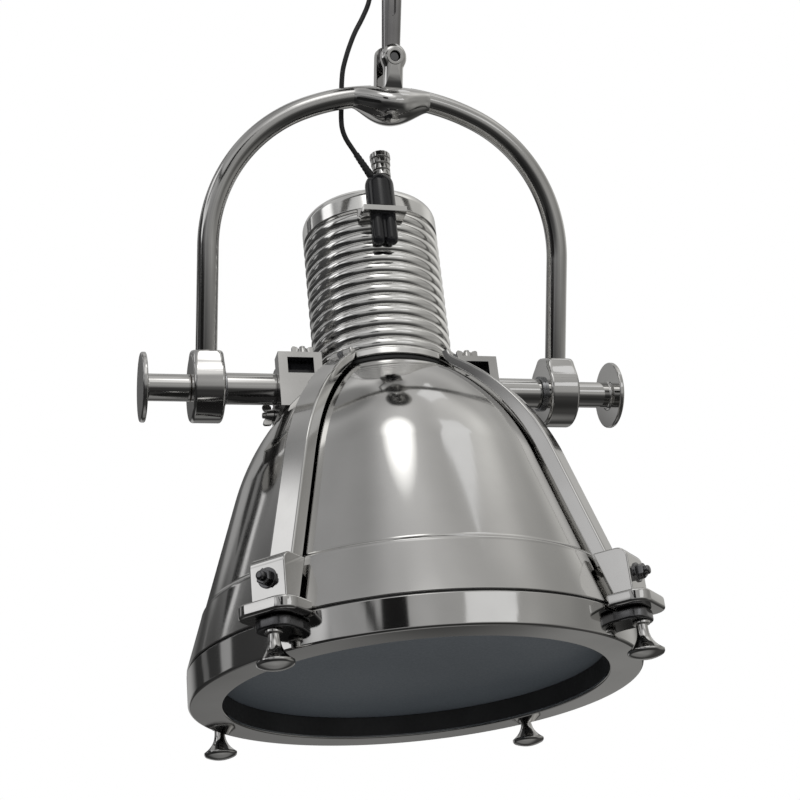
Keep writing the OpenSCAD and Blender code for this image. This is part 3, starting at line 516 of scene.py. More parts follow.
class Nodes:
    """A material's node tree, with short calls for the nodes used here."""

    def __init__(self, name):
        self.material = bpy.data.materials.new(name)
        self.material.use_nodes = True
        self.tree = self.material.node_tree
        self.shader = self.tree.nodes["Principled BSDF"]
        self.place = self.add("ShaderNodeTexCoord").outputs["Object"]

    def add(self, kind, **inputs):
        node = self.tree.nodes.new(kind)
        for name, value in inputs.items():
            put(self.tree, node.inputs[name.replace("_", " ")], value)
        return node

    def set(self, **values):
        for name, value in values.items():
            put(self.tree, self.shader.inputs[name.replace("_", " ")], value)

    def noise(self, scale, detail, stretch=None):
        place = self.place
        if stretch:
            place = self.add("ShaderNodeMapping", Vector=place, Scale=stretch).outputs["Vector"]
        node = self.add("ShaderNodeTexNoise", Vector=place, Scale=scale, Detail=detail, Roughness=0.5)
        return node.outputs["Fac"]

    def ramp(self, value, low, high):
        """A number from low to high over the middle of a noise's range."""
        node = self.add("ShaderNodeMapRange", Value=value, From_Min=0.3, From_Max=0.7, To_Min=low,
                        To_Max=high)
        return node.outputs["Result"]

    def colours(self, value, first, second):
        node = self.add("ShaderNodeMix")
        node.data_type = "RGBA"
        put(self.tree, node.inputs["Factor"], value)
        put(self.tree, node.inputs["A"], (*first, 1))
        put(self.tree, node.inputs["B"], (*second, 1))
        return node.outputs["Result"]

    def bump(self, height, strength, distance):
        node = self.add("ShaderNodeBump", Height=height, Strength=strength, Distance=distance)
        return node.outputs["Normal"]


def polished(name, light, dark, rough, ripple=0.06, lines=(900, 900, 40)):
    """Polished metal: faint smudges, fine polishing lines and a slight ripple from the wheel."""
    n = Nodes(name)
    smudge = n.noise(14, 4)
    grain = n.noise(6, 2, stretch=lines)
    n.set(Metallic=1.0, Base_Color=n.colours(n.ramp(smudge, 0, 1), light, dark))
    fine = n.ramp(grain, 0.85, 1.2)
    base = n.ramp(smudge, rough * 0.75, rough * 1.35)
    n.set(Roughness=worked_out(n.tree, "MULTIPLY", fine, base), Normal=n.bump(n.noise(9, 1), ripple, 0.01))
    return n.material


def satin(name, light, dark, rough, grain=260.0, relief=0.15):
    """Rubber, sheath or paint: a fine grain, with dust that lightens it a little."""
    n = Nodes(name)
    speck = n.noise(grain, 3)
    patch = n.noise(18, 3)
    n.set(Base_Color=n.colours(n.ramp(patch, 0, 1), light, dark),
          Roughness=n.ramp(speck, rough * 0.85, rough * 1.15), Normal=n.bump(speck, relief, 0.0004))
    return n.material


def gloss_black():
    """Moulded gloss black with faint flow marks."""
    n = Nodes("gloss_black")
    n.set(Base_Color=n.colours(n.noise(30, 3), (0.006, 0.006, 0.007), (0.014, 0.014, 0.015)),
          Roughness=n.ramp(n.noise(60, 3), 0.1, 0.2), Specular_IOR_Level=0.4,
          Normal=n.bump(n.noise(40, 2), 0.05, 0.001))
    return n.material


def frosted():
    """Unlit frosted glass over the dark inside of the lamp."""
    n = Nodes("frosted_glass")
    cloud = n.noise(5, 3)
    n.set(Base_Color=n.colours(n.ramp(cloud, 0, 1), (0.07, 0.08, 0.09), (0.088, 0.099, 0.11)),
          Roughness=n.ramp(n.noise(420, 2), 0.34, 0.44), IOR=1.5, Specular_IOR_Level=0.35,
          Normal=n.bump(n.noise(900, 2), 0.05, 0.0002))
    return n.material


MIRROR = polished("mirror_nickel", (0.6, 0.595, 0.585), (0.53, 0.525, 0.515), 0.07)
BELL_METAL = polished("spun_nickel", (0.6, 0.595, 0.585), (0.54, 0.535, 0.525), 0.085, 0.04, (20, 20, 600))
DRAWN = polished("drawn_nickel", (0.57, 0.565, 0.555), (0.48, 0.475, 0.465), 0.11, 0.04, (500, 500, 18))
# The cap's nickel has a far lighter base than the bell's: painted light, so that its ribs read brighter.
RIBBED_LIT = polished("ribbed_nickel_lit", (0.93, 0.925, 0.91), (0.83, 0.825, 0.81), 0.11, 0.05, (20, 20, 500))
CAST = polished("cast_nickel", (0.58, 0.575, 0.565), (0.48, 0.475, 0.465), 0.12, 0.1, (300, 300, 300))
# The link's steel: a dark base, partly the steel's own tone and partly painted shade for the dark that the
# link mirrors.
STEEL_AND_SHADE = polished("worn_steel_and_shade", (0.36, 0.355, 0.355), (0.22, 0.215, 0.22), 0.1, 0.06, (400, 400, 30))
# Dark steel for screws, pins, bolts and clips; on the bezel's lugs it is painted shade under the tabs.
DARK_STEEL_AND_SHADE = polished("dark_steel", (0.2, 0.2, 0.205), (0.11, 0.11, 0.115), 0.22, 0.1, (300, 300, 300))
ZINC = polished("zinc_plate", (0.4, 0.405, 0.42), (0.3, 0.305, 0.32), 0.3, 0.1, (200, 200, 200))
BRONZE = polished("sintered_bronze", (0.62, 0.42, 0.22), (0.5, 0.33, 0.17), 0.3, 0.2, (300, 300, 300))
RUBBER = satin("black_rubber", (0.012, 0.012, 0.012), (0.02, 0.02, 0.02), 0.6)
SHEATH = satin("cord_sheath", (0.008, 0.008, 0.008), (0.016, 0.016, 0.017), 0.45)
CERAMIC = satin("glazed_ceramic", (0.86, 0.85, 0.81), (0.8, 0.79, 0.75), 0.18, 120.0, 0.05)
WHITE = satin("reflector_white", (0.82, 0.82, 0.81), (0.76, 0.76, 0.75), 0.4)
BLACK = gloss_black()
FROSTED = frosted()

# Cord and strain relief


def spline(points, per_step):
    """A smooth curve through points, with per_step stretches between two of them."""
    points = [Vector(p) for p in points]
    curve = []
    for i in range(len(points) - 1):
        a = points[max(i - 1, 0)]
        b = points[i]
        c = points[i + 1]
        d = points[min(i + 2, len(points) - 1)]
        for k in range(per_step):
            t = k / per_step
            curve.append(0.5 * (2 * b + (c - a) * t + (2 * a - 5 * b + 4 * c - d) * t ** 2
                                + (3 * b - a - 3 * c + d) * t ** 3))
    curve.append(points[-1])
    return curve


CORD_STEPS = 6
CORD_SIDES = 20
CORD_CURVE = [MM * p for p in spline(CORD_ROUTE, CORD_STEPS)]


def make_cord(name, first, last, node):
    """One length of the cord, between two points of its route."""
    line = CORD_CURVE[first * CORD_STEPS:last * CORD_STEPS + 1]
    mesh = shaped(name, tube(line, CORD_D / 2 * MM, CORD_SIDES), AS_MADE)
    obj = finished(name, mesh, None, SHEATH, node, 0)
    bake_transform(obj)


def make_relief():
    """A ribbed taper round the cord's lower end, rooted in the grip."""
    end = Vector(CORD_ROUTE[-1])
    way = (Vector(CORD_ROUTE[RELIEF_FROM]) - end).normalized()
    place = axes(BACKWARD.cross(way), BACKWARD, way, MM * end)
    root, length = -8, 24
    bore_r, base_r, tip_r = 2.55, 4.2, 3.1
    ribs, groove_depth = 6, 0.35
    ribs_from, ribs_to = 4, length - 2
    steps = 60
    outline = [(bore_r, root)]
    for z, taper in zip(spread(root, length, steps), spread(base_r, tip_r, steps)):
        wave = max(0.0, sin(2 * pi * ribs * z / length))
        groove = groove_depth * wave if ribs_from < z < ribs_to else 0
        outline.append((taper - groove, z))
    outline.append((bore_r, length))
    return piece("strain_relief", "boot", lathe(outline, 32), place, "head", RUBBER)


relief = make_relief()
make_cord("cord_upper", 0, LINK_FROM, "cord_top")
make_cord("cord_middle", LINK_FROM, YOKE_FROM, "cord_mid")
make_cord("cord_lower", YOKE_FROM, len(CORD_ROUTE) - 1, "cord_low")

# Bell: a straight wall that runs into a dome

WALL_OUT = Vector((cos(BELL_ANGLE), sin(BELL_ANGLE)))
WALL_UP = Vector((-sin(BELL_ANGLE), cos(BELL_ANGLE)))
RIM = Vector((BELL_RIM_R, -BELL_DEPTH))
NECK = Vector((BELL_NECK_R, 0))


def dome_centre():
    reach = NECK - RIM + DOME_R * WALL_OUT
    run = reach.dot(WALL_UP) - sqrt(DOME_R ** 2 - reach.length_squared + reach.dot(WALL_UP) ** 2)
    return RIM + run * WALL_UP - DOME_R * WALL_OUT


DOME = dome_centre()
NECK_A = degrees(atan2(NECK.y - DOME.y, NECK.x - DOME.x))
WALL_A = degrees(BELL_ANGLE)


def wall_r(z):
    return BELL_RIM_R - (z + BELL_DEPTH) * tan(BELL_ANGLE)


def make_bell():
    """The spun bell, with a soft step and a bead where the band above its rim begins."""
    crease_h, crease_steps = 8, 12
    crease_top = BAND_H - BELL_DEPTH + crease_h / 2
    bead_h, bead_at, bead_w = 0.5, 0.6, 0.2
    hem_z = -262
    wall = arc(DOME, DOME_R, NECK_A, WALL_A, 48)
    for t in spread(0, 1, crease_steps):
        z = crease_top - crease_h * t
        out = BAND_STEP * eased(t) + bead_h * exp(-((t - bead_at) / bead_w) ** 2)
        wall.append((wall_r(z) + out * WALL_OUT.x, z + out * WALL_OUT.y))
    rim = RIM + BAND_STEP * WALL_OUT
    inner_rim = RIM - BELL_WALL * WALL_OUT
    hem = rounded([(wall_r(hem_z) + BAND_STEP, hem_z), (rim.x, -BELL_DEPTH, 1),
                   (inner_rim.x, -BELL_DEPTH, 1), (wall_r(hem_z) - BELL_WALL, hem_z)])
    inside = arc(DOME, DOME_R - BELL_WALL, WALL_A, NECK_A, 24)
    piece("bell", "shell", lathe(wall + hem[1:-1] + inside, 256), AT_HEAD, "head", BELL_METAL)


make_bell()

# Cap and its seal


def make_cap():
    """A can with broad ribs, thin grooves, a plain top band and a rounded crown, on a rubber seal."""
    half = (RIB_PITCH - RIB_GROOVE) / 2
    radius = (half ** 2 + RIB_DEPTH ** 2) / (2 * RIB_DEPTH)
    reach = degrees(asin(half / radius))
    groove = CAP_R - RIB_DEPTH
    inner, crown_round = 56, 14
    base_top = CAP_Z + CAP_BASE_H
    rib_z = base_top + 1
    base = rounded([(inner, CAP_Z), (CAP_BASE_R, CAP_Z, 1.5), (CAP_BASE_R, base_top, 2), (inner, base_top)])
    outline = [(0, CAP_Z), (inner, CAP_Z)] + base[1:-1]
    outline.append((groove - RIB_GROOVE, rib_z - RIB_GROOVE))
    for i in range(RIB_COUNT):
        outline += arc((CAP_R - radius, rib_z + (i + 0.5) * RIB_PITCH), radius, -reach, reach, 12)
        outline.append((groove - RIB_GROOVE, rib_z + (i + 1) * RIB_PITCH))
    band = rib_z + RIB_COUNT * RIB_PITCH + RIB_GROOVE / 2
    outline += rounded([(groove, band), (CAP_R, band + 1, 1.2), (CAP_R, CAP_TOP, crown_round),
                        (0, CAP_TOP)], 10)
    # The cap takes the lighter nickel, painted light that brightens its ribs.
    piece("cap", "ribbed", lathe(outline, 192), AT_HEAD, "head", RIBBED_LIT)
    seal_r, gap, edge = 60, 0.3, 1.2
    seal = ring(seal_r, CAP_R + 1, gap, CAP_Z - gap, edge, edge, 128)
    piece("cap_seal", "ring", seal, AT_HEAD, "head", RUBBER)


make_cap()

# Straps

DOME_STEPS = 26
HOOK_STEPS = 8


def strap_path():
    """Stations up the wall, over the dome and up at the cap: middle, outward normal and thickness."""
    overlap, hook_turn, hook_gap, hook_top, hook_taper = 12, 2.2, 4.3, 15, 2
    low = FOOT_TOP - overlap
    foot = Vector((wall_r(low), low))
    stations = [(foot + (STRAP_GAP + STRAP_T / 2) * WALL_OUT, WALL_OUT, STRAP_T)]
    turn_a = NECK_A - hook_turn
    for t in spread(0, 1, DOME_STEPS):
        angle = radians(WALL_A + (turn_a - WALL_A) * t)
        normal = Vector((cos(angle), sin(angle)))
        thick = STRAP_T + (STRAP_TIP_T - STRAP_T) * t
        stations.append((DOME + (DOME_R + STRAP_GAP + thick / 2) * normal, normal, thick))
    start, normal, thick = stations[-1]
    rise = Vector((-normal.y, normal.x))
    end = Vector((CAP_BASE_R + hook_gap, hook_top))
    elbow = start + rise * (start.x - end.x) / -rise.x
    for t in spread(0, 1, HOOK_STEPS)[1:]:
        point = (1 - t) ** 2 * start + 2 * t * (1 - t) * elbow + t * t * end
        forward = ((1 - t) * (elbow - start) + t * (end - elbow)).normalized()
        stations.append((point, Vector((forward.y, -forward.x)), thick - hook_taper * t))
    return stations


def strap_ribbon():
    rings = []
    for point, normal, thick in strap_path():
        section = oblong(STRAP_W / 2, thick / 2, 0.8, 2.2, 5)
        rings.append([(point.x + normal.x * v, u, point.y + normal.y * v) for u, v in section])
    return loft(rings)


def strap_foot():
    """The block at a strap's foot; its inner face leans with the wall."""
    gap = FOOT_GAP / cos(BELL_ANGLE)
    half = FOOT_W / 2
    side = rounded([(wall_r(FOOT_TOP) + gap, FOOT_TOP), (FOOT_REACH, FOOT_TOP, FOOT_ROUND),
                    (FOOT_REACH, TAB_TOP), (wall_r(TAB_TOP) + gap, TAB_TOP)], 8)
    return loft([[(r, -half, z) for r, z in side], [(r, half, z) for r, z in side]])


def tongue(inner_r, outer, width, corner, low, high):
    """A plate that hugs a round of inner_r and has two rounded outer corners."""
    half = width / 2
    sweep = degrees(asin(half / inner_r))
    inner = arc((0, 0), inner_r, sweep, -sweep, 10)
    outer_side = rounded([(inner[-1][0], -half), (outer, -half, corner), (outer, half, corner),
                          (inner[0][0], half)], 8)
    return prism(inner[1:-1] + outer_side, low, high)


def make_straps():
    tab = tongue(BEZEL_R + BEZEL_GAP, THUMB_CIRCLE_R + TAB_EDGE, TAB_W, TAB_ROUND, TAB_END, TAB_TOP)
    for corner, angle in CORNERS.items():
        strap = f"strap_{corner}"
        place = turned(AT_HEAD, angle)
        piece(strap, "bar", strap_ribbon(), place, "head", MIRROR)
        piece(strap, "foot", strap_foot(), place, "head", MIRROR, bevel=1.4)
        piece(strap, "tab", tab, place, "head", MIRROR, bevel=2.4)


def make_foot_screws():
    """In each foot a hexagon head on a washer, with the rounded end of its stud."""
    head_r, head_h, stud_r, stud_h = 7, 6.5, 4, 12
    washer_t, inset, chamfer = 1.5, 0.86, 1.1
    corners = arc((0, 0), head_r, 0, 300, 5)
    levels = [(1, washer_t), (1, head_h), (inset, head_h + chamfer)]
    head = loft([[(share * x, share * y, z) for x, y in corners] for share, z in levels])
    washer = ring(0, head_r * 1.25, 0, washer_t, 0, 0.5, 40)
    stud = ring(0, stud_r, 1, stud_h, 0, stud_r * 0.6, 32, 6)
    screws = []
    for angle in CORNERS.values():
        face = moved(turned(AT_HEAD, angle), FOOT_REACH, 0, (FOOT_TOP + TAB_TOP) / 2)
        screws.append(placed(joined(washer, head, stud), turned(face, 90, "Y")))
    piece("foot_screws", "set", joined(*screws), AS_MADE, "head", DARK_STEEL_AND_SHADE)


make_straps()
make_foot_screws()

# Bezel, glass and thumbscrews


def make_bezel():
    bore = GLASS_R + 1.5
    outline = rounded([
        (bore, BEZEL_TOP, 0.6), (BEZEL_R, BEZEL_TOP, 1.4), (BEZEL_R, BEZEL_END, 2.5),
        (OPENING_R, BEZEL_END, 1.5), (OPENING_R, LIP_Z), (SHELF_R, LIP_Z), (SHELF_R, SEAT_Z),
        (bore, SEAT_Z)], 8)
    lug = tongue(GLASS_R + 8, THUMB_CIRCLE_R + LUG_EDGE, LUG_W, LUG_ROUND, LUG_END, LUG_TOP)
    lugs = [placed(lug, spin(angle)) for angle in CORNERS.values()]
    piece("bezel", "ring", lathe(outline, 256), AT_HEAD, "head", MIRROR)
    # The lugs take the dark steel as painted shade, for the shadow under the tabs.
    piece("bezel", "lugs", joined(*lugs), AT_HEAD, "head", DARK_STEEL_AND_SHADE, bevel=2.0)


def make_lens():
    gasket_r = OPENING_R + 0.2
    gasket = rounded([(gasket_r, LIP_Z), (SHELF_R, LIP_Z), (SHELF_R, SEAT_Z), (GLASS_R, SEAT_Z),
                      (GLASS_R, GLASS_Z), (gasket_r, GLASS_Z, 1)])
    glass = ring(0, GLASS_R, GLASS_Z, GLASS_Z + GLASS_T, 0.8, 0.8, 128)
    piece("lens_gasket", "ring", lathe(gasket, 192), AT_HEAD, "head", RUBBER)
    piece("glass", "disc", glass, AT_HEAD, "head", FROSTED)


def thumb_outline():
    """A thread, a collar and a trumpet foot with a domed end."""
    thread_r, collar_r, collar_t, edge = 5, 7.5, 3, 3
    thread_top = TAB_TOP - 2
    collar = LUG_END - 0.3
    flare = collar - collar_t
    rim = THUMB_END + 7
    flare_steps, dome_steps = 20, 10
    outline = [(0, thread_top), (thread_r, thread_top), (thread_r, collar)]
    outline += rounded([(thread_r, collar), (collar_r, collar, 0.8), (collar_r, flare, 0.8),
                        (thread_r, flare)])[1:-1]
    for t in spread(0, 1, flare_steps):
        outline.append((thread_r + (THUMB_R - thread_r) * t ** 3, flare + (rim - flare) * t))
    outline += arc((THUMB_R - edge, rim - 1), edge, 20, -60, 8)
    edge_r, edge_z = outline[-1]
    for t in spread(0, 1, dome_steps)[1:]:
        outline.append((edge_r * (1 - t), THUMB_END + (edge_z - THUMB_END) * (1 - t) ** 2))
    return outline


def make_thumbscrews():
    for corner, angle in CORNERS.items():
        name = f"thumbscrew_{corner}"
        place = moved(turned(AT_HEAD, angle), THUMB_CIRCLE_R, 0, 0)
        piece(name, "turned", lathe(thumb_outline(), 64), place, name, MIRROR)


make_bezel()
make_lens()
make_thumbscrews()

# Trunnions: shafts, blocks and wing nuts, eyes and lock knobs

# The pocket in the front of a block, whose faces are painted black as shade: from and to, outwards,
# backwards and upwards
SHADED_POCKET = [(BLOCK_REACH - 35.5, BLOCK_REACH - 8.5), (-25.2, -11), (5.5, 23.5)]


def wing_nut():
    """A hub with two wings on the end of a stud."""
    hub = lathe(rounded([(0, 0), (6.5, 0, 0.6), (5, 8, 1), (0, 8)]), 32)
    stud = ring(0, 3, 1, 11, 0, 1, 24)
    outline = rounded([(0, 2), (10.8, 1.6, 3), (11, 11.2, 4.2), (6, 10, 2), (0, 5)], 6)
    half_t = 1.8
    wing = upright(prism(outline, -half_t, half_t))
    return joined(hub, stud, *[placed(wing, spin(turn)) for turn in (0, 180)])


def paint_pocket_shade(obj, sign):
    """Paints the pocket of a trunnion block black, as painted shade in the recess."""
    obj.data.materials.append(BLACK)
    from_world = AT_HEAD.inverted()
    for face in obj.data.polygons:
        x, y, z = from_world @ face.center
        if all(low < value < high for value, (low, high) in zip((sign * x, y, z), SHADED_POCKET)):
            face.material_index = 1


def shaft_outline():
    """A spigot in the block, the shaft, the journal in the eye and the thread of the lock knob."""
    spigot_r, thread_r = 10, 8
    root = BLOCK_REACH - 14
    return rounded([
        (0, root), (spigot_r, root), (spigot_r, BLOCK_REACH), (SHAFT_R, BLOCK_REACH, 0.6),
        (SHAFT_R, SHAFT_STOP, 0.8), (JOURNAL_R, SHAFT_STOP), (JOURNAL_R, JOURNAL_END, 0.5),
        (thread_r, JOURNAL_END), (thread_r, THREAD_END, 1), (0, THREAD_END)])


def knob_outline():
    """A stem with a threaded bore and a flat disc."""
    bore_r, bore_end, disc_end = 8.05, THREAD_END - KNOB_IN + 1, STEM_LEN + DISC_T
    return rounded([
        (0, bore_end), (bore_r, bore_end), (bore_r, 0), (STEM_R, 0, 1), (STEM_R, STEM_LEN, 3),
        (DISC_R, STEM_LEN, 1.4), (DISC_R, disc_end, 1.8), (0, disc_end + 0.01)], 6)


def eye_outline():
    """The eye's round, with a thin lip at both ends over the bush."""
    half, edge = EYE_W / 2, 3.2
    bore, lip, lip_t = 17.05, 13.35, 0.25
    return rounded([
        (bore, -half + lip_t), (lip, -half + lip_t), (lip, -half - lip_t), (EYE_R, -half - lip_t, edge),
        (EYE_R, half + lip_t, edge), (lip, half + lip_t), (lip, half - lip_t), (bore, half - lip_t)], 8)


def eye_neck():
    """The neck is as wide as the eye, narrows in depth to the rod and ends in a soft shoulder."""
    # Height, half width, half depth and corner round
    levels = [(17, 15, 29.5, 3), (22, 15, 26, 3.5), (26, 15, 22.5, 4), (30, 15, 19.2, 4.5),
              (33.5, 14.8, 17, 5), (35.5, 14.2, 15.8, 6), (36.6, 13.2, 14.6, 7), (37, 11.6, 13, 8)]
    return loft([[(x, y, z) for x, y in oblong(half_x, half_y, corner, corner, 8)]
                 for z, half_x, half_y, corner in levels])


def make_trunnions():
    nuts = []
    for side, sign in SIDES.items():
        shaft, knob, eye = f"trunnion_shaft_{side}", f"lock_knob_{side}", f"yoke_eye_{side}"
        place = along_axis(AT_HEAD, sign)
        seat = moved(AT_YOKE, sign * HALF_SPAN, 0, 0)
        piece(shaft, "turned", lathe(shaft_outline(), 96), place, "head", MIRROR)
        # The block's pocket is painted black as shade.
        paint_pocket_shade(refined(f"trunnion_block_{side}", "head", CAST, bevel=1.2), sign)
        piece(knob, "turned", lathe(knob_outline(), 128), moved(place, 0, 0, KNOB_IN), knob, MIRROR)
        piece(eye, "ring", lathe(eye_outline(), 128), along_axis(seat, sign), "yoke", MIRROR)
        piece(eye, "neck", eye_neck(), seat, "yoke", MIRROR)
        block_end = along_axis(moved(AT_HEAD, sign * BLOCK_REACH, 18, -20), sign)
        block_top = moved(AT_HEAD, sign * (BLOCK_REACH - 27), -15, 29)
        nuts += [placed(wing_nut(), spot) for spot in (block_end, block_top)]
    piece("wing_nuts", "set", joined(*nuts), AS_MADE, "head", CAST, bevel=0.5)


make_trunnions()

# Yoke


def arm_path():
    """The rod's middle line: leg, shoulder and crown."""
    leg_z, leg_steps, crown_end = 21, 4, 84.9
    x = HALF_SPAN - SHOULDER_R
    z = CROWN_Z + sqrt((CROWN_R - SHOULDER_R) ** 2 - x ** 2)
    bend = degrees(atan2(z - CROWN_Z, x))
    line = [(HALF_SPAN, height) for height in spread(leg_z, z, leg_steps)[:-1]]
    line += arc((x, z), SHOULDER_R, 0, bend, 48)
    line += arc((0, CROWN_Z), CROWN_R, bend, crown_end, 16)[1:]
    return [(px, 0, pz) for px, pz in line]


def make_arms():
    rod = tube(arm_path(), ROD_R, 48)
    for side, sign in SIDES.items():
        half = placed(rod, Matrix.Diagonal((sign, 1, 1, 1)))
        piece(f"yoke_arm_{side}", "rod", half, AT_YOKE, "yoke", DRAWN)


def make_hub():
    """A boat: the rod's round swells into a keel under the clevis and narrows to the rod again."""
    sides, steps = 48, 32
    reach, skin, dip = HUB_R + 3, 0.1, 1.5
    keel = YOKE_RISE - ROD_R - HUB_LOW
    turns = spread(0, 2 * pi, sides)[:-1]
    rings = []
    for x in spread(-reach, reach, steps):
        swell = max(0.0, 1 - (x / reach) ** 2) ** 1.4
        rod_z = CROWN_Z + sqrt(CROWN_R ** 2 - x ** 2)
        top = rod_z + ROD_R + skin - dip * swell
        low = rod_z - ROD_R - skin - keel * swell
        half_y = ROD_R + skin + (HUB_HALF_W - ROD_R) * swell
        rings.append([(x, half_y * cos(a), (top + low) / 2 + (top - low) / 2 * sin(a))
                      for a in turns])
    piece("yoke_hub", "boat", loft(rings), AT_YOKE, "yoke", MIRROR)


make_arms()
make_hub()

# Hanger: clevis, link, fork and pins

# Rear and front ear: half width of the head and of the shank, squareness of the head, dome of the face
EARS = {-1: (13, 13, 4, 0), 1: (12.7, EAR_HALF_W, 2, 4)}


def ear_outline(reach, sign, half_w, shank_w, power):
    """A round head about the pin that runs into a straight shank; the shank goes down for sign -1."""
    steps, head_steps, blend = 36, 16, 8
    turns = spread(0, pi / 2, head_steps)[:-1]
    right = [(half_w * sin(a) ** (2 / power), EAR_R * cos(a) ** (2 / power)) for a in turns]
    right.append((half_w, 0))
    for z in spread(EAR_R, -reach, steps)[1:]:
        if z < 0:
            oval = half_w * sqrt(max(0.0, 1 - (z / EAR_R) ** 2))
            neck = (oval ** blend + shank_w ** blend) ** (1 / blend)
            right.append((neck if shank_w < half_w else half_w, z))
    left = [(-x, z) for x, z in right[:0:-1]]
    return [(x, -sign * z) for x, z in right + left]


def forked(reach, bridge, sign, shank_r, shank_h, sunk):
    """Two ears with pin holes and a rim on a bridge, and the round shank that holds them."""
    hole_r, rim_r, rim_root, rim_top, edge = PIN_R + 0.3, PIN_R + 3.4, EAR_OUT - 0.5, EAR_OUT + 0.9, 0.6
    shapes = []
    for side, (head_w, shank_w, power, dome) in EARS.items():
        low, high = sorted((side * EAR_IN, side * EAR_OUT))
        outline = ear_outline(reach + sunk, sign, head_w, shank_w, power)
        shapes.append(upright(eyelet(outline, hole_r, low, high, dome)))
    rim = rounded([(hole_r, rim_root), (rim_r, rim_root), (rim_r, rim_top, edge),
                   (hole_r, rim_top, edge)], 4)
    shapes.append(upright(lathe(rim, 48)))
    half_w = EAR_HALF_W - 0.8
    low, high = sorted((sign * (reach - bridge), sign * reach))
    shapes.append(box((-half_w, 5 - EAR_OUT, low), (half_w, EAR_OUT - 0.6, high)))
    low, high = sorted((sign * (reach - 1), sign * (reach + shank_h)))
    shapes.append(ring(0, shank_r, low, high))
    return joined(*shapes)


def link_section(half_w, slot_w, slot_d):
    """An oval bar with a slot in its front and back faces."""
    half_t = LINK_T / 2
    power = 2 / 2.4
    start = asin((slot_w / half_w) ** (1 / power))
    turns = spread(start, pi / 2, 12)[:-1]
    front = [(half_w * sin(a) ** power, half_t * cos(a) ** power) for a in turns]
    right = front + [(half_w, 0)] + [(x, -y) for x, y in front[::-1]]
    floor = min(front[0][1], half_t - slot_d)
    left = [(-x, y) for x, y in right[::-1]]
    return right + [(slot_w, -floor), (-slot_w, -floor)] + left + [(-slot_w, floor), (slot_w, floor)]


def hanger_link():
    """A forged bar with round ends, wider at the top, with a slot in each face."""
    low_r, top_r = 10, 10.5
    low_w, top_w = 9, 10.5
    slot_from, slot_to, slot_w, slot_d = LINK_LEN / 2, LINK_LEN - 16, 3, 4
    shut, blunt = 0.2, 0.6
    steps, end_steps = 46, 10
    turns = spread(0, pi / 2, end_steps)
    levels = [-low_r * cos(a) for a in turns]
    levels += spread(0, LINK_LEN, steps)[1:-1]
    levels += [LINK_LEN + top_r * sin(a) for a in turns]
    rings = []
    for z in levels:
        half_w = low_w + (top_w - low_w) * z / LINK_LEN
        if z < 0:
            half_w = sqrt(max(blunt, low_r ** 2 - z ** 2))
        elif z < low_r:
            half_w = max(half_w, sqrt(low_r ** 2 - z ** 2))
        elif z > LINK_LEN:
            half_w = sqrt(max(blunt, top_r ** 2 - (z - LINK_LEN) ** 2))
        past = max(slot_from - z, z - slot_to, 0)
        inside = past < slot_w
        width = sqrt(slot_w ** 2 - past ** 2) if inside else shut
        depth = slot_d if inside else 0
        rings.append([(x, y, z) for x, y in link_section(half_w, width, depth)])
    return loft(rings)


def pin():
    """A headed pin along Z, its tip recessed in the front ear."""
    tip, head_r, head, end = 2 - EAR_OUT, PIN_R + 3, EAR_OUT, EAR_OUT + 3
    return lathe(rounded([(0, tip), (PIN_R, tip, 1.2), (PIN_R, head), (head_r, head, 0.6),
                          (head_r, end, 1.4), (0, end)], 6), 48)


def make_hanger():
    at_fork = plumb(FORK_PIN)
    at_clevis = plumb(CLEVIS_PIN)
    clevis = forked(reach=28, bridge=12, sign=-1, shank_r=7, shank_h=24, sunk=5)
    fork = forked(reach=19.7, bridge=6, sign=1, shank_r=6, shank_h=30, sunk=0)
    piece("clevis", "forged", clevis, at_clevis, "yoke", MIRROR, bevel=1.4)
    piece("ceiling_fork", "forged", fork, at_fork, "ceiling", MIRROR, bevel=1.4)
    # The link's dark base holds painted shade as well as the steel's tone.
    piece("hanger_link", "forged", hanger_link(), at_clevis, "link", STEEL_AND_SHADE)
    piece("clevis_pin", "turned", pin(), turned(at_clevis, -90, "X"), "yoke", DARK_STEEL_AND_SHADE)
    piece("fork_pin", "turned", pin(), turned(at_fork, -90, "X"), "ceiling", DARK_STEEL_AND_SHADE)


make_hanger()

# Ceiling fitting


def make_canopy():
    """The spun canopy and the ring nut under it."""
    rim_r, top_r, bore_r, foot, rise, wall = 62, 22, 6.3, 5, 25, 1.6
    bulge = rim_r - top_r
    end = -foot - rise
    turns = [radians(angle) for angle in spread(0, 90, 32)]
    outer = [(top_r + bulge * cos(a), -foot - rise * sin(a)) for a in turns]
    inner = [(top_r + (bulge - wall) * cos(a), -foot - (rise - wall) * sin(a)) for a in turns]
    outline = [(rim_r - wall, 0), (rim_r, 0)] + outer + [(bore_r, end), (bore_r, end + wall)] + inner[::-1]
    piece("canopy", "spun", lathe(outline, 160), AT_CEILING, "ceiling", MIRROR)
    thread_r, nut_r, low, high, edge = 6.1, 14, -36, -30.1, 1.2
    nut = ring(thread_r, nut_r, low, high, edge, edge, 64)
    piece("ring_nut", "turned", nut, AT_CEILING, "ceiling", MIRROR)


make_canopy()

# Cord grip

AT_GRIP = moved(AT_HEAD, GRIP_X, GRIP_Y, 0)
AT_CLAMP = moved(AT_HEAD, CLAMP_X, GRIP_Y, 0)


def lobe(x, low, high, radius):
    """A rod with a round lower end."""
    y = -2
    outline = [(0, low)] + arc((0, low + radius), radius, -90, 0, 10)[1:] + [(radius, high), (0, high)]
    return placed(lathe(outline, 40), Matrix.Translation((x, y, 0)))


